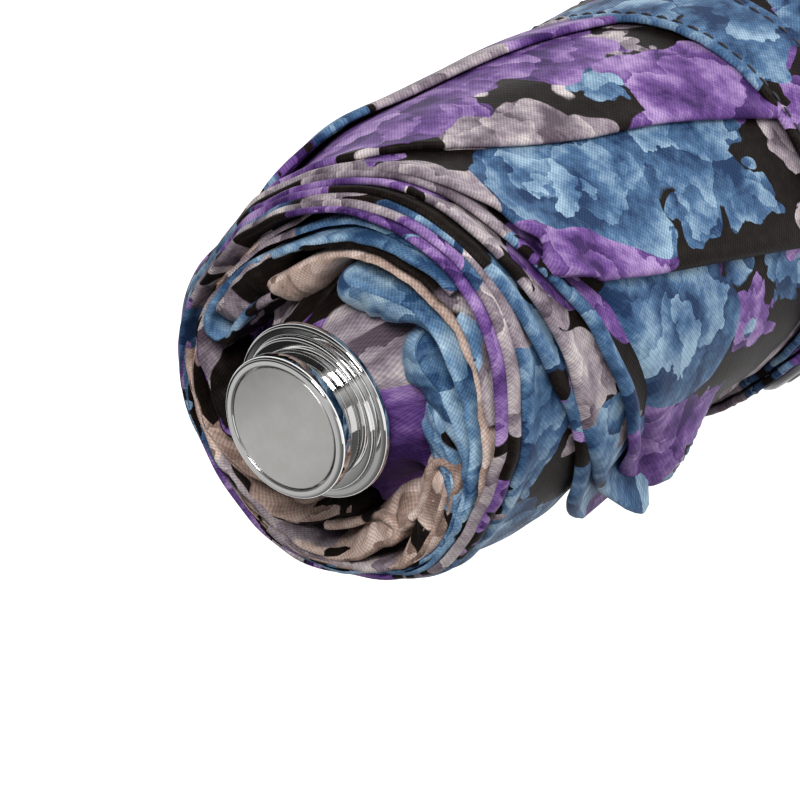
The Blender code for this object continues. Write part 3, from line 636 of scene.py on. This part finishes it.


# Pleats: full folds of cloth round the cap, each from a rounded nose clockwise and out under the leaves,
# with a broad face down towards the ferrule: nose angle, how far the nose stands in from the mouth, width of
# the inner face, depth of the crest, inner and outer lengths in degrees, and cloth: 0 the print, 1 its paler
# reverse, 2 the blue one, these last two also lightened with painted light for the shaded mouth
PLEATS = [
    (-126, 7.6, 3.8, 12.4, 60, 150, 1), (-154, 6.6, 4.2, 11.8, 64, 150, 1), (170, 4.2, 3.6, 11.4, 60, 150, 0),
    (118, 1.6, 5.4, 10.2, 56, 150, 2), (86, 3.4, 4.2, 10.6, 52, 150, 1), (38, 3.2, 6.2, 10.0, 60, 150, 2),
    (-6, 4.2, 6.6, 10.4, 56, 140, 2), (-38, 3.4, 6.2, 10.8, 52, 130, 2), (-66, 2.8, 6.0, 10.8, 46, 110, 1),
    (-98, 4.6, 5.0, 11.4, 44, 120, 1),
]
TUCK = 40.0             # degrees from a fold's nose to where it joins the mouth's lip
FOLD_SLOPE = 0.012      # how much lower a fold's crest gets in each degree from its nose
PRINT_STEP = (0.21, 0.4)            # how far the print moves on from one fold to the next, in metres


def crest_radius(nose, drop, run, outer):
    """A fold's radius: inside the mouth at its nose, then along the mouth, then out under the leaves."""
    angle = nose - np.asarray(run, float)
    mouth = ring_spline(MOUTH, angle)
    under = np.maximum(base_radius(angle, np.full(angle.shape, TOP_DEPTH)), mouth + 0.3)
    out = np.clip((run - TUCK) / (outer - TUCK), 0.0, 1.0)
    return mouth - drop * (1.0 - smooth(run / TUCK)) + (under - mouth) * out


PLEAT_HEIGHT = 5.2
# The outer side's and the inner side's sections: distance out or in, and fall
PLEAT_OUT = [(0, 0), (0.22, 0.04), (0.42, 0.16), (0.58, 0.36), (0.68, 0.66), (0.73, 1.1), (0.76, 1.8)]
PLEAT_OUT += [(0.78, fall) for fall in (3, 4.5, 6.5, 8.5, 10.5, 12.5, 15)]
ROUND = np.radians([0, 8, 16, 25, 34, 43, 52, 61, 70, 80, 90])
PLEAT_IN = [(math.sin(t), 1.0 - math.cos(t)) for t in ROUND] + [(1.03, 1.5), (1.05, 2.2), (1.06, 3.0)]


def pleat_mesh(index, pleat, materials):
    """A pleat's surface: columns run up its outer side, round the nose and back along its inner face."""
    nose, drop, width, top, inner, outer, cloth_index = pleat
    fan = np.arange(0.0, 181.0, 12.0)
    outside = np.arange(outer, 0.0, -1.5)
    inside = np.arange(1.5, inner, 1.5)
    run = np.concatenate([outside, np.zeros(len(fan)), inside])
    turn = np.radians(np.concatenate([np.zeros(len(outside)), fan, np.full(len(inside), 180.0)]))
    inward = (1.0 - np.cos(turn)) / 2.0
    angle = np.radians(nose - run)
    reach = crest_radius(nose, drop, run, outer)
    reach = reach + 0.25 * waves(run / 9.0, index * 1.3, 80 + index) * smooth(run / 8.0)

    level, slope = column(PLEAT_IN, 0), column(PLEAT_IN, 1)
    wide = 0.75 + (width - 0.75) * (1.0 - smooth((run - 18.0) / 28.0))
    distance = column(PLEAT_OUT, 0) * (1.0 - inward) + level * wide * inward
    fall = column(PLEAT_OUT, 1) * (1.0 - inward) + slope * PLEAT_HEIGHT * inward
    along = run * 0.33 + np.degrees(turn) * 0.05
    gather = 0.75 * waves(along / 1.5, level * 1.2, 90 + index) * inward * smooth(level * 1.8)
    crest = 0.45 * waves(run / 7.0, index * 2.0, 40 + index)
    depth = top + crest + FOLD_SLOPE * run + fall + gather

    outward = stacked(np.cos(angle), np.sin(angle))
    back = stacked(-np.sin(angle), np.cos(angle))
    direction = outward * np.cos(turn)[:, None] + back * np.sin(turn)[:, None]
    flat = outward * reach[:, None] + direction * distance[..., None]
    points = np.concatenate([flat, depth[..., None]], -1)
    measure = np.sqrt(distance**2 + fall**2) * np.where(inward > 0.5, 1.0, -1.0)
    uvs = stacked(along * 1.1 * MM + index * PRINT_STEP[0], measure * MM + index * PRINT_STEP[1])
    return grid_mesh(f"pleat_{index}", points, uvs, materials[cloth_index])


# Pockets: folds whose nose stands open, each a ribbon that turns back there: nose angle, how far the nose
# stands in from the mouth, half gap, inner and outer lengths in degrees, depth of the top, and cloth
POCKETS = [
    (126, 1.2, 2.2, 34, 120, 10.2, 2),
    (-60, 1.4, 2.1, 30, 100, 10.8, 1),
    (-108, 3.2, 1.9, 30, 110, 11.4, 1),
]


def pocket_path(nose, drop, gap, inner, outer):
    """The ribbon's centre line from its inner end, round the nose, to its outer end."""
    back = np.arange(inner, 0.0, -2.0)
    ahead = np.arange(2.0, outer, 2.0)
    radius = float(crest_radius(nose, drop, np.array([0.0]), outer)[0]) - gap
    bend = np.radians(np.arange(-90.0, 91.0, 15.0))
    reach = math.degrees(gap / radius) * 1.3
    inside = stacked(nose - back, crest_radius(nose, drop, back, outer) - 2.0 * gap - 0.02 * back)
    round_nose = stacked(nose + reach * np.cos(bend), radius + gap * np.sin(bend))
    outside = stacked(nose - ahead, crest_radius(nose, drop, ahead, outer))
    return np.concatenate([inside, round_nose, outside])


def run_length(path):
    """How far along its path each point lies."""
    return np.concatenate([[0.0], np.cumsum(np.linalg.norm(np.diff(path, axis=0), axis=1))])


def pocket_mesh(index, pocket, materials):
    """A pocket's ribbon: a thin doubled sheet with a round top, hung along its centre line."""
    nose, drop, gap, inner, outer, top, cloth_index = pocket
    angle, reach = pocket_path(nose, drop, gap, inner, outer).T
    centre = stacked(reach * np.cos(np.radians(angle)), reach * np.sin(np.radians(angle)))
    step = np.gradient(centre, axis=0)
    step /= np.linalg.norm(step, axis=1, keepdims=True)
    side = stacked(-step[:, 1], step[:, 0])
    along = run_length(centre)
    half = 0.62
    profile = [(-half * 0.7, 16.0), (-half * 0.8, 9.0), (-half, 4.0), (-half, 1.6), (-half, 0.6)]
    profile += [(half * math.sin(t), half * (1.0 - math.cos(t))) for t in np.radians([-60, -30, 0, 30, 60])]
    profile += [(-x, d) for x, d in profile[4::-1]]
    across, fall = column(profile, 0), column(profile, 1)
    ripple = 0.5 * waves(along / 3.4, index * 2.0, 40 + index)
    lean = 0.35 * waves(along / 5.0, fall / 6.0, 60 + index) * smooth(fall / 6.0)
    place = centre + side * (across + lean)[..., None]
    depth = top + ripple + fall + FOLD_SLOPE * (nose - angle).clip(0.0)
    points = np.concatenate([place, depth[..., None]], -1)
    measure = run_length(profile)[:, None]
    uvs = stacked(along * MM + index * PRINT_STEP[0], measure * MM + index * PRINT_STEP[1])
    return grid_mesh(f"pocket_{index}", points, uvs, materials[cloth_index])


# The depth of the gathered cloth under the ferrule, by radius
CROWN_SLOPE = [(7.0, 8.4), (11.6, 9.0), (12.6, 11.5), (14.0, 15.5), (17.0, 18.5), (21.0, 23.0)]


def crown_cloth_mesh(material):
    """The gathered cloth from under the ferrule's flange, out and down between the pleats."""
    a = np.radians(np.arange(360.0))
    share = np.linspace(0.0, 1.0, 30)[:, None]
    radius = 7.2 + 13.8 * share
    pleat = np.sin(a * 8.0 + 2.2 * share + 0.6) + 0.45 * np.sin(a * 19.0 + 1.0 - 2.0 * share)
    depth = spline(CROWN_SLOPE, radius) - (0.2 + pleat * 0.8) * 1.9 * smooth((radius - 11.8) / 3.0)
    turn = a - 0.5 * share * (1.0 + 0.25 * pleat)
    points = stacked(radius * np.cos(turn), radius * np.sin(turn), depth)
    uvs = stacked(a * 0.016 + 0.9, radius * MM * 1.3 + 0.12)
    return grid_mesh("crown_cloth", points, uvs, material, closed_columns=True)


def make_canopy(cloths, reverse, blue, inner):
    roll = joined("canopy_roll", [leaf_mesh(index, leaf, cloths) for index, leaf in enumerate(LEAVES)])
    canopy = piece("canopy_roll", roll, "upper_shaft", "cloth", "canopy", "canopy_patch")
    shown = (cloths[0], reverse, blue)
    meshes = [pleat_mesh(index, pleat, shown) for index, pleat in enumerate(PLEATS)]
    meshes += [pocket_mesh(index, pocket, shown) for index, pocket in enumerate(POCKETS)]
    meshes.append(crown_cloth_mesh(inner))
    folds = piece("canopy_folds", joined("canopy_folds", meshes), "upper_shaft", "cloth")
    return canopy


# -------- turned metal and plastic

def spun_mesh(name, profile, material, steps=160, sharp=35.0):
    """A turned solid from (radius, z) points in millimetres, run down its outer side; closed on itself."""
    turn = np.arange(steps) * math.tau / steps
    radius, z = column(profile, 0), column(profile, 1)
    co = stacked(radius * np.cos(turn), radius * np.sin(turn), z)
    index = np.pad(np.arange(len(profile) * steps).reshape(-1, steps), ((0, 1), (0, 1)), mode="wrap")
    mesh = bpy.data.meshes.new(name)
    mesh.from_pydata(co.reshape(-1, 3) * MM, [], quads(index).reshape(-1, 4).tolist())
    welded(mesh)
    mesh.materials.append(material)
    mesh.shade_smooth()
    mesh.set_sharp_from_angle(angle=math.radians(sharp))
    return mesh


def rounded(points, steps, base=0.0):
    """The outline raised by its base, with each marked corner rounded: points are (radius, z) or
    (radius, z, corner radius)."""
    result = []
    count = len(points)
    spots = [Vector((point[0], base + point[1])) for point in points]
    for i, here in enumerate(spots):
        if len(points[i]) == 2:
            result.append(tuple(here))
            continue
        before, after = spots[i - 1] - here, spots[(i + 1) % count] - here
        reach = min(points[i][2], before.length * 0.49, after.length * 0.49)
        start, end = here + before.normalized() * reach, here + after.normalized() * reach
        for k in range(steps + 1):
            t = k / steps
            result.append(tuple(start * (1 - t) ** 2 + here * 2 * t * (1 - t) + end * t * t))
    return result


def turned_chrome(name, outline, metal, body, node):
    piece(name, spun_mesh(name, outline, metal), body, "chrome", node)


def make_ferrule(chrome, disc_metal):
    """The chrome cap, the stepped flange and the disc, their outlines measured from the cap's face."""
    face = FACE_Z / MM
    cap = rounded([
        (8.75, -0.25, 0.2), (8.9, 0.0, 0.35), (10.12, 0.0, 1.0), (10.12, -2.1, 0.8), (9.2, -2.5, 0.5),
        (9.2, -5.5), (2.2, -5.5), (2.2, -1.0), (8.75, -1.0),
    ], 8, face)
    turned_chrome("ferrule_rim", cap, chrome, "upper_shaft", "ferrule_cap")
    flange = rounded([
        (9.2, -4.6, 0.5), (10.9, -4.9, 0.45), (10.95, -5.8, 0.3), (12.45, -5.9, 0.7), (12.5, -7.2, 0.5),
        (11.0, -7.4), (3.9, -7.4), (3.9, -5.2), (9.2, -5.2),
    ], 8, face)
    turned_chrome("ferrule_base", flange, chrome, "upper_shaft", "ferrule_flange")
    disc = rounded([(0.0, -0.12), (8.62, -0.12, 0.12), (8.62, -0.9), (0.0, -0.9)], 4, face)
    turned_chrome("ferrule_plate", disc, disc_metal, "upper_shaft", "ferrule_disc")


def drilled(mesh, radius, height):
    """The mesh with a hole through it along Y, for the cross pin."""
    obj = placed("drilled", mesh)
    bpy.ops.mesh.primitive_cylinder_add(
        vertices=40, radius=radius, depth=60.0 * MM, location=(0.0, 0.0, height),
        rotation=(math.radians(90), 0.0, 0.0),
    )
    drill = bpy.context.object
    cut = obj.modifiers.new("cut", "BOOLEAN")
    cut.object = drill
    cut.solver = "EXACT"
    graph = bpy.context.evaluated_depsgraph_get()
    result = bpy.data.meshes.new_from_object(obj.evaluated_get(graph))
    result.name = mesh.name + "_drilled"
    bpy.data.objects.remove(obj)
    bpy.data.objects.remove(drill)
    return result


def make_handle(lacquer, chrome):
    """The grip, its collar and its end cap, rounder and smoother than the CAD."""
    grip_low, grip_high = (v.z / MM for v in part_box("handle_grip"))
    collar_low, collar_high = (v.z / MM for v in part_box("handle_collar"))
    pin_low, pin_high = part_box("handle_pin")
    cap_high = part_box("handle_end_cap")[1].z / MM
    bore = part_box("lower_tube")[1].x / MM + 0.3
    stem = 4.0
    grip = rounded([
        (12.6, grip_high, 0.5), (13.3, grip_high - 1.2, 1.0), (14.1, grip_high - 8.0, 6.0),
        (15.5, 44.0, 14.0), (16.5, 22.0, 12.0), (16.1, 11.0, 5.0), (15.3, grip_low, 0.5),
        (stem + 0.3, grip_low), (stem + 0.3, 18.0), (bore, 23.0), (bore, grip_high),
    ], 10)
    body = spun_mesh("handle_body", grip, lacquer, 128, 30.0)
    body = drilled(body, 1.35 * MM, (pin_low.z + pin_high.z) / 2)
    piece("handle_body", body, "handle", "lacquer", "handle_grip")
    collar = rounded([
        (11.2, collar_high, 0.4), (12.5, collar_high - 0.2, 0.6), (13.1, collar_high - 1.6, 0.9),
        (13.1, collar_low + 1.4, 0.6), (12.65, collar_low + 0.9, 0.3), (12.9, collar_low + 0.4, 0.3),
        (12.7, collar_low, 0.2), (bore, collar_low), (bore, collar_high, 0.3),
    ], 8)
    turned_chrome("handle_ring", collar, chrome, "handle", "handle_collar")
    cap = rounded([
        (0.0, cap_high), (stem, cap_high), (stem, grip_low - 0.3), (14.9, grip_low - 0.3, 0.2),
        (15.45, grip_low - 0.9, 0.4), (15.3, 1.0, 1.2), (14.0, 0.0, 0.8), (8.0, 0.0, 0.5),
        (7.4, 0.35, 0.4), (0.0, 0.35),
    ], 8)
    turned_chrome("handle_foot", cap, chrome, "handle", "handle_end_cap")


# -------- the strap

STRAP_MIDDLE = (FACE_Z - (STRAP_LOW + STRAP_HIGH) / 2) / MM
STRAP_HALF = (STRAP_HIGH - STRAP_LOW) / MM / 2
BAND_RADIUS = 31.2      # to the middle of the cloth
BAND_FROM, BAND_TO = -128.0, 226.0  # the angles of its ends
HINGE = -133.4          # angle of the fold where the tab leaves the band
TAB_ARC = 62.0
TAB_END = 12.0          # the rounded part of the tab's arc
TAB_LIFT = 1.5          # how much farther out than the band the tab lies
STRAP_HALF_THICK = 0.55
SEAM = 5.5              # from the strap's middle to each row of stitches
SNAP_ANGLE = HINGE + TAB_ARC - 13.0


def strap_radius(angle):
    return BAND_RADIUS - press(angle, STRAP_MIDDLE)


def tab_radius(angle):
    return strap_radius(angle) + TAB_LIFT * smooth((angle - HINGE + 1.0) / 6.0)


def slant(angle):
    """How much farther from the cap the band lies than its middle height, in millimetres."""
    return -1.6 * bell(angle - 82.0, 34.0)


def strap_strip(name, angles, radii, halves, material):
    """A flat doubled strip along the angles: rounded edges, a soft crown, and a groove under each seam."""
    seam = SEAM / STRAP_HALF
    across = np.array([-1.0, -0.985, -0.95, -0.90, -0.84, -0.79, -seam, -0.68, -0.6, -0.35, 0.0])
    across = np.concatenate([across, -across[-2::-1]])
    edge = np.sqrt(np.clip(1.0 - (np.abs(across) - 0.93).clip(0.0) ** 2 / 0.0049, 0.0, 1.0))
    face = STRAP_HALF_THICK * (edge - 0.42 * bell(np.abs(across) - seam, 0.06))
    across = np.concatenate([across, across[-2::-1]])[:, None]
    face = np.concatenate([face, -face[-2:0:-1], face[:1]])[:, None]
    turn = np.radians(angles)
    pucker = 0.10 * waves(angles / 2.2, across * 2.0, 31)
    radius = radii + face + pucker * (np.abs(face) > 0.2)
    wander = slant(angles) + 0.12 * waves(angles / 9.0, 0.0, 32)
    depth = STRAP_MIDDLE + wander + across * halves
    points = stacked(radius * np.cos(turn), radius * np.sin(turn), depth)
    uvs = stacked(across * halves * MM + 0.31, turn * BAND_RADIUS * MM + 0.52)
    return welded(grid_mesh(name, points, uvs, material), fill=True)


STITCH_PITCH, STITCH_LENGTH, THREAD = 2.6, 1.9, 0.20
# A stitch's section rings: how far from its middle to its end, and thickness
STITCH_RINGS = ((-1.0, 0.15), (-0.75, 0.8), (0.0, 1.0), (0.75, 0.8), (1.0, 0.15))


def stitch_rows(name, start, stop, radius_at, material):
    """Two rows of short stitches lying in the grooves on the strap's outer face."""
    faces, points = [], []
    around = np.radians(np.arange(0, 360, 60))
    travel = np.radians(stop - start) * BAND_RADIUS
    count = int(travel / STITCH_PITCH)
    for row in range(2 * count):
        seam = (-SEAM, SEAM)[row // count]
        middle = start + (row % count + 0.5) * STITCH_PITCH / travel * (stop - start)
        first = len(points)
        for u, size in STITCH_RINGS:
            angle = middle + math.degrees(u * STITCH_LENGTH / 2 / BAND_RADIUS)
            lift = STRAP_HALF_THICK * 0.58 + 0.22 * (1.0 - u * u)
            turn = math.radians(angle)
            for t in around:
                radius = radius_at(angle) + lift + THREAD * size * math.sin(t)
                depth = STRAP_MIDDLE + slant(angle) + seam + THREAD * size * math.cos(t)
                points.append((radius * math.cos(turn), radius * math.sin(turn), depth))
        for ring in range(first, first + 24, 6):
            faces += [(ring + k, ring + (k + 1) % 6, ring + (k + 1) % 6 + 6, ring + k + 6) for k in range(6)]
        faces.append(tuple(range(first + 5, first - 1, -1)))
        faces.append(tuple(range(first + 24, first + 30)))
    return cloth_mesh(name, np.array(points), faces, material)


def strap_place(angle, radius):
    """The directions out and round at an angle, and the point of the strap's middle line there."""
    turn = math.radians(angle)
    out = Vector((math.cos(turn), math.sin(turn), 0.0))
    along = Vector((-math.sin(turn), math.cos(turn), 0.0))
    place = out * radius * MM
    place.z = FACE_Z - STRAP_MIDDLE * MM
    return out, along, place


def make_strap(cloth, thread):
    """The band round the roll, and the tab with its rounded end."""
    angles = np.arange(BAND_FROM, BAND_TO + 0.1, 1.5)
    body = strap_strip("strap_loop", angles, strap_radius(angles), np.full(len(angles), STRAP_HALF), cloth)
    stitches = stitch_rows("loop_stitches", BAND_FROM + 1, BAND_TO - 1, strap_radius, thread)
    loop = piece("strap_loop", joined("strap_loop", [body, stitches]), "upper_shaft", "cloth", "strap_band")

    tip = HINGE + TAB_ARC
    end = tip - TAB_END * np.cos(np.radians(np.arange(0, 91, 7.5)))
    angles = np.concatenate([np.arange(HINGE - 3.0, tip - TAB_END, 1.5), end])
    left = ((tip - angles) / TAB_END).clip(0.0, 1.0)
    halves = STRAP_HALF * (0.45 + 0.55 * np.sqrt(np.clip(1.0 - (1.0 - left) ** 2, 0.0, 1.0)))
    body = strap_strip("strap_flap", angles, tab_radius(angles), halves, cloth)
    stitches = stitch_rows("flap_stitches", HINGE + 2, tip - 10, tab_radius, thread)
    flap = placed("strap_flap", joined("strap_flap", [body, stitches]))
    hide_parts("strap_tab")
    _, along, hinge = strap_place(HINGE, BAND_RADIUS)
    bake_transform(flap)


def snap_part(name, outline, metal, seat, body, node):
    """A turned piece standing on the strap, its axis pointing out from the shaft and its outline measured
    from the seat's face."""
    mesh = spun_mesh(name, outline, metal, steps=64)
    out, along, place = strap_place(SNAP_ANGLE, seat + STRAP_HALF_THICK)
    turn = Matrix((along, (0.0, 0.0, 1.0), out)).transposed().to_4x4()
    mesh.transform(Matrix.Translation(place) @ turn)
    piece(name, mesh, body, "chrome", node)


def make_snap(metal):
    """The press snap: a domed cap on the tab's outer face, and the stud it closes on in the band."""
    cap = rounded([
        (0.0, 1.35), (1.6, 1.3, 0.5), (1.9, 1.05, 0.3), (3.9, 0.95, 1.2), (5.2, 0.05, 0.5),
        (5.0, -0.25, 0.2), (1.2, -0.25), (1.2, -1.1), (0.0, -1.1),
    ], 6)
    snap_part("snap_dome", cap, metal, tab_radius(SNAP_ANGLE), "strap_tab", "snap_cap")
    stud = rounded([
        (0.0, 0.42), (1.5, 0.42, 0.3), (1.6, 0.15, 0.2), (1.3, -0.1, 0.1), (3.6, -0.15, 0.4),
        (3.6, -1.3), (0.0, -1.3),
    ], 5)
    snap_part("snap_post", stud, metal, strap_radius(SNAP_ANGLE), "upper_shaft", "snap_stud")


# -------- floor, lights and camera

CAP = Vector((0.0, 0.0, FACE_Z))
VIEW_ANGLE = math.radians(48)       # between the shaft and the line of sight
VIEW_ROLL = math.radians(30.5)
VIEW_DISTANCE = 0.700
VIEW_SHIFT = (0.0154, 0.0038)       # from the cap to the picture's middle, in metres
LENS = 239.4
LIT = Vector((0.0, 0.0, 0.22))      # the place the lights are turned to
FLOOR_HALF = 3.0
WORLD_STRENGTH = 0.50
# The studio's brightness from one side to the other
STUDIO_BANDS = [(0.0, 0.20), (0.36, 0.50), (0.52, 1.3), (0.575, 0.04), (0.68, 0.04), (0.72, 1.1),
                (0.78, 1.1), (0.83, 0.06)]


def make_camera():
    """The photograph's view, with the cap a little off the picture's middle."""
    back = Vector((math.sin(VIEW_ANGLE), 0.0, math.cos(VIEW_ANGLE)))
    away = Vector((math.cos(VIEW_ANGLE), 0.0, -math.sin(VIEW_ANGLE)))
    across = Vector((0.0, 1.0, 0.0))
    right = away * math.cos(VIEW_ROLL) - across * math.sin(VIEW_ROLL)
    up = away * math.sin(VIEW_ROLL) + across * math.cos(VIEW_ROLL)
    place = CAP + back * VIEW_DISTANCE
    aim = CAP + right * VIEW_SHIFT[0] + up * VIEW_SHIFT[1]
    back = (place - aim).normalized()
    right = (right - back * right.dot(back)).normalized()
    up = back.cross(right)
    data = bpy.data.cameras.new("camera")
    data.lens = LENS
    data.clip_start = 0.01
    data.clip_end = 20.0
    camera = placed("camera", data)
    camera.matrix_world = Matrix.Translation(place) @ Matrix((right, up, back)).transposed().to_4x4()
    bpy.context.scene.camera = camera


def area_light(name, place, side, power):
    """A square light turned to the roll's middle."""
    data = bpy.data.lights.new(name, "AREA")
    data.shape = "RECTANGLE"
    data.size = data.size_y = side
    data.energy = power
    light = placed(name, data)
    light.location = place
    light.rotation_euler = (Vector(place) - LIT).to_track_quat("Z", "Y").to_euler()


def make_world():
    """A studio of pale and dark bands, which gives polished metal something to show."""
    world = bpy.data.worlds.new("studio")
    bpy.context.scene.world = world
    n = Nodes(world, "Background")
    direction = n.add("ShaderNodeTexCoord").outputs["Generated"]
    side = n.add("ShaderNodeSeparateXYZ", {0: direction}).outputs[1]
    stops = [(position, (value, value, value)) for position, value in STUDIO_BANDS]
    n.finish(Color=n.ramp(n.fit(side, 0.5, 0.5), stops), Strength=WORLD_STRENGTH)


def make_stage():
    n = new_material("floor_white")
    white = n.finish(
        Base_Color=(0.92, 0.92, 0.92, 1.0),
        Roughness=n.fit(n.noise(n.place(), 8.0).outputs[0], 0.1, 0.7),
        Emission_Color=(1.0, 1.0, 1.0, 1.0),
        Emission_Strength=0.75,
    )
    mesh = bpy.data.meshes.new("floor")
    corners = [(x * FLOOR_HALF, y * FLOOR_HALF, 0) for x, y in ((-1, -1), (1, -1), (1, 1), (-1, 1))]
    mesh.from_pydata(corners, [], [(0, 1, 2, 3)])
    mesh.materials.append(white)
    floor = placed("floor", mesh)

    make_world()
    area_light("key", (0.78, 0.38, 0.92), 0.40, 11.0)
    area_light("fill", (0.9, -0.8, 0.6), 0.8, 2.0)


# -------- put together

bpy.context.scene.view_settings.view_transform = "Standard"
colourways = (
    (BLUES, PURPLES, GREYS), (BLUES, GREYS, PURPLES), (GREYS, BLUES, PURPLES), (GREYS, PURPLES, BLUES),
)
cloths = [make_print(f"print_cloth_{index}", palettes) for index, palettes in enumerate(colourways)]
# The folds round the cap get lighter palettes or fuller flower cover than the outer print: partly the cloth's
# paler reverse and lighter blues, partly painted light that brightens the shaded mouth
reverse = make_print("print_cloth_reverse", (TANS, GREYS, TANS), size=0.62, cover=0.78)
blue_cloth = make_print("print_cloth_blue", (SKIES, GREYS, SKIES), size=0.55, cover=0.76)
inner_cloth = make_print("print_cloth_inner", (PURPLES, GREYS, PURPLES), size=0.5, cover=0.74)
thread = make_plastic("sewing_thread", srgb(40, 36, 44), 0.6, 3000.0, 0.3)
gunmetal = make_metal("gunmetal", (0.07, 0.07, 0.075), 0.30, 900.0, 0.1)
chrome = make_metal("chrome_plate", (0.75, 0.745, 0.74), 0.04, 900.0, 0.05)
tube_metal = make_metal("tube_chrome", (0.36, 0.37, 0.39), 0.14, 500.0, 0.08)
steel = make_metal("spring_steel", (0.55, 0.55, 0.57), 0.25, 700.0, 0.2)
disc_metal = make_disc("cap_disc")
painted = make_plastic("black_paint", (0.02, 0.02, 0.022), 0.32, 1500.0, 0.1)
nylon = make_plastic("black_nylon", (0.018, 0.018, 0.02), 0.5, 2500.0, 0.25)
lacquer = make_plastic("lacquer", (0.022, 0.010, 0.034), 0.10, 400.0, 0.05)

finishes = {"chrome": chrome, "steel": steel, "black_steel": painted, "nylon": nylon,
            "lacquer": lacquer, "cloth": cloths[0]}
for entry in frame["record"]["subparts"]:
    node = nodes[entry["node"]]
    node.data.materials.clear()
    node.data.materials.append(finishes[entry["material_slot"]])
for tube in ("lower_tube", "middle_tube"):
    nodes[tube].data.materials[0] = tube_metal

make_camera()
make_stage()
canopy_roll = make_canopy(cloths, reverse, blue_cloth, inner_cloth)
make_ferrule(chrome, disc_metal)
make_handle(lacquer, tube_metal)
make_strap(cloths[0], thread)
make_snap(gunmetal)
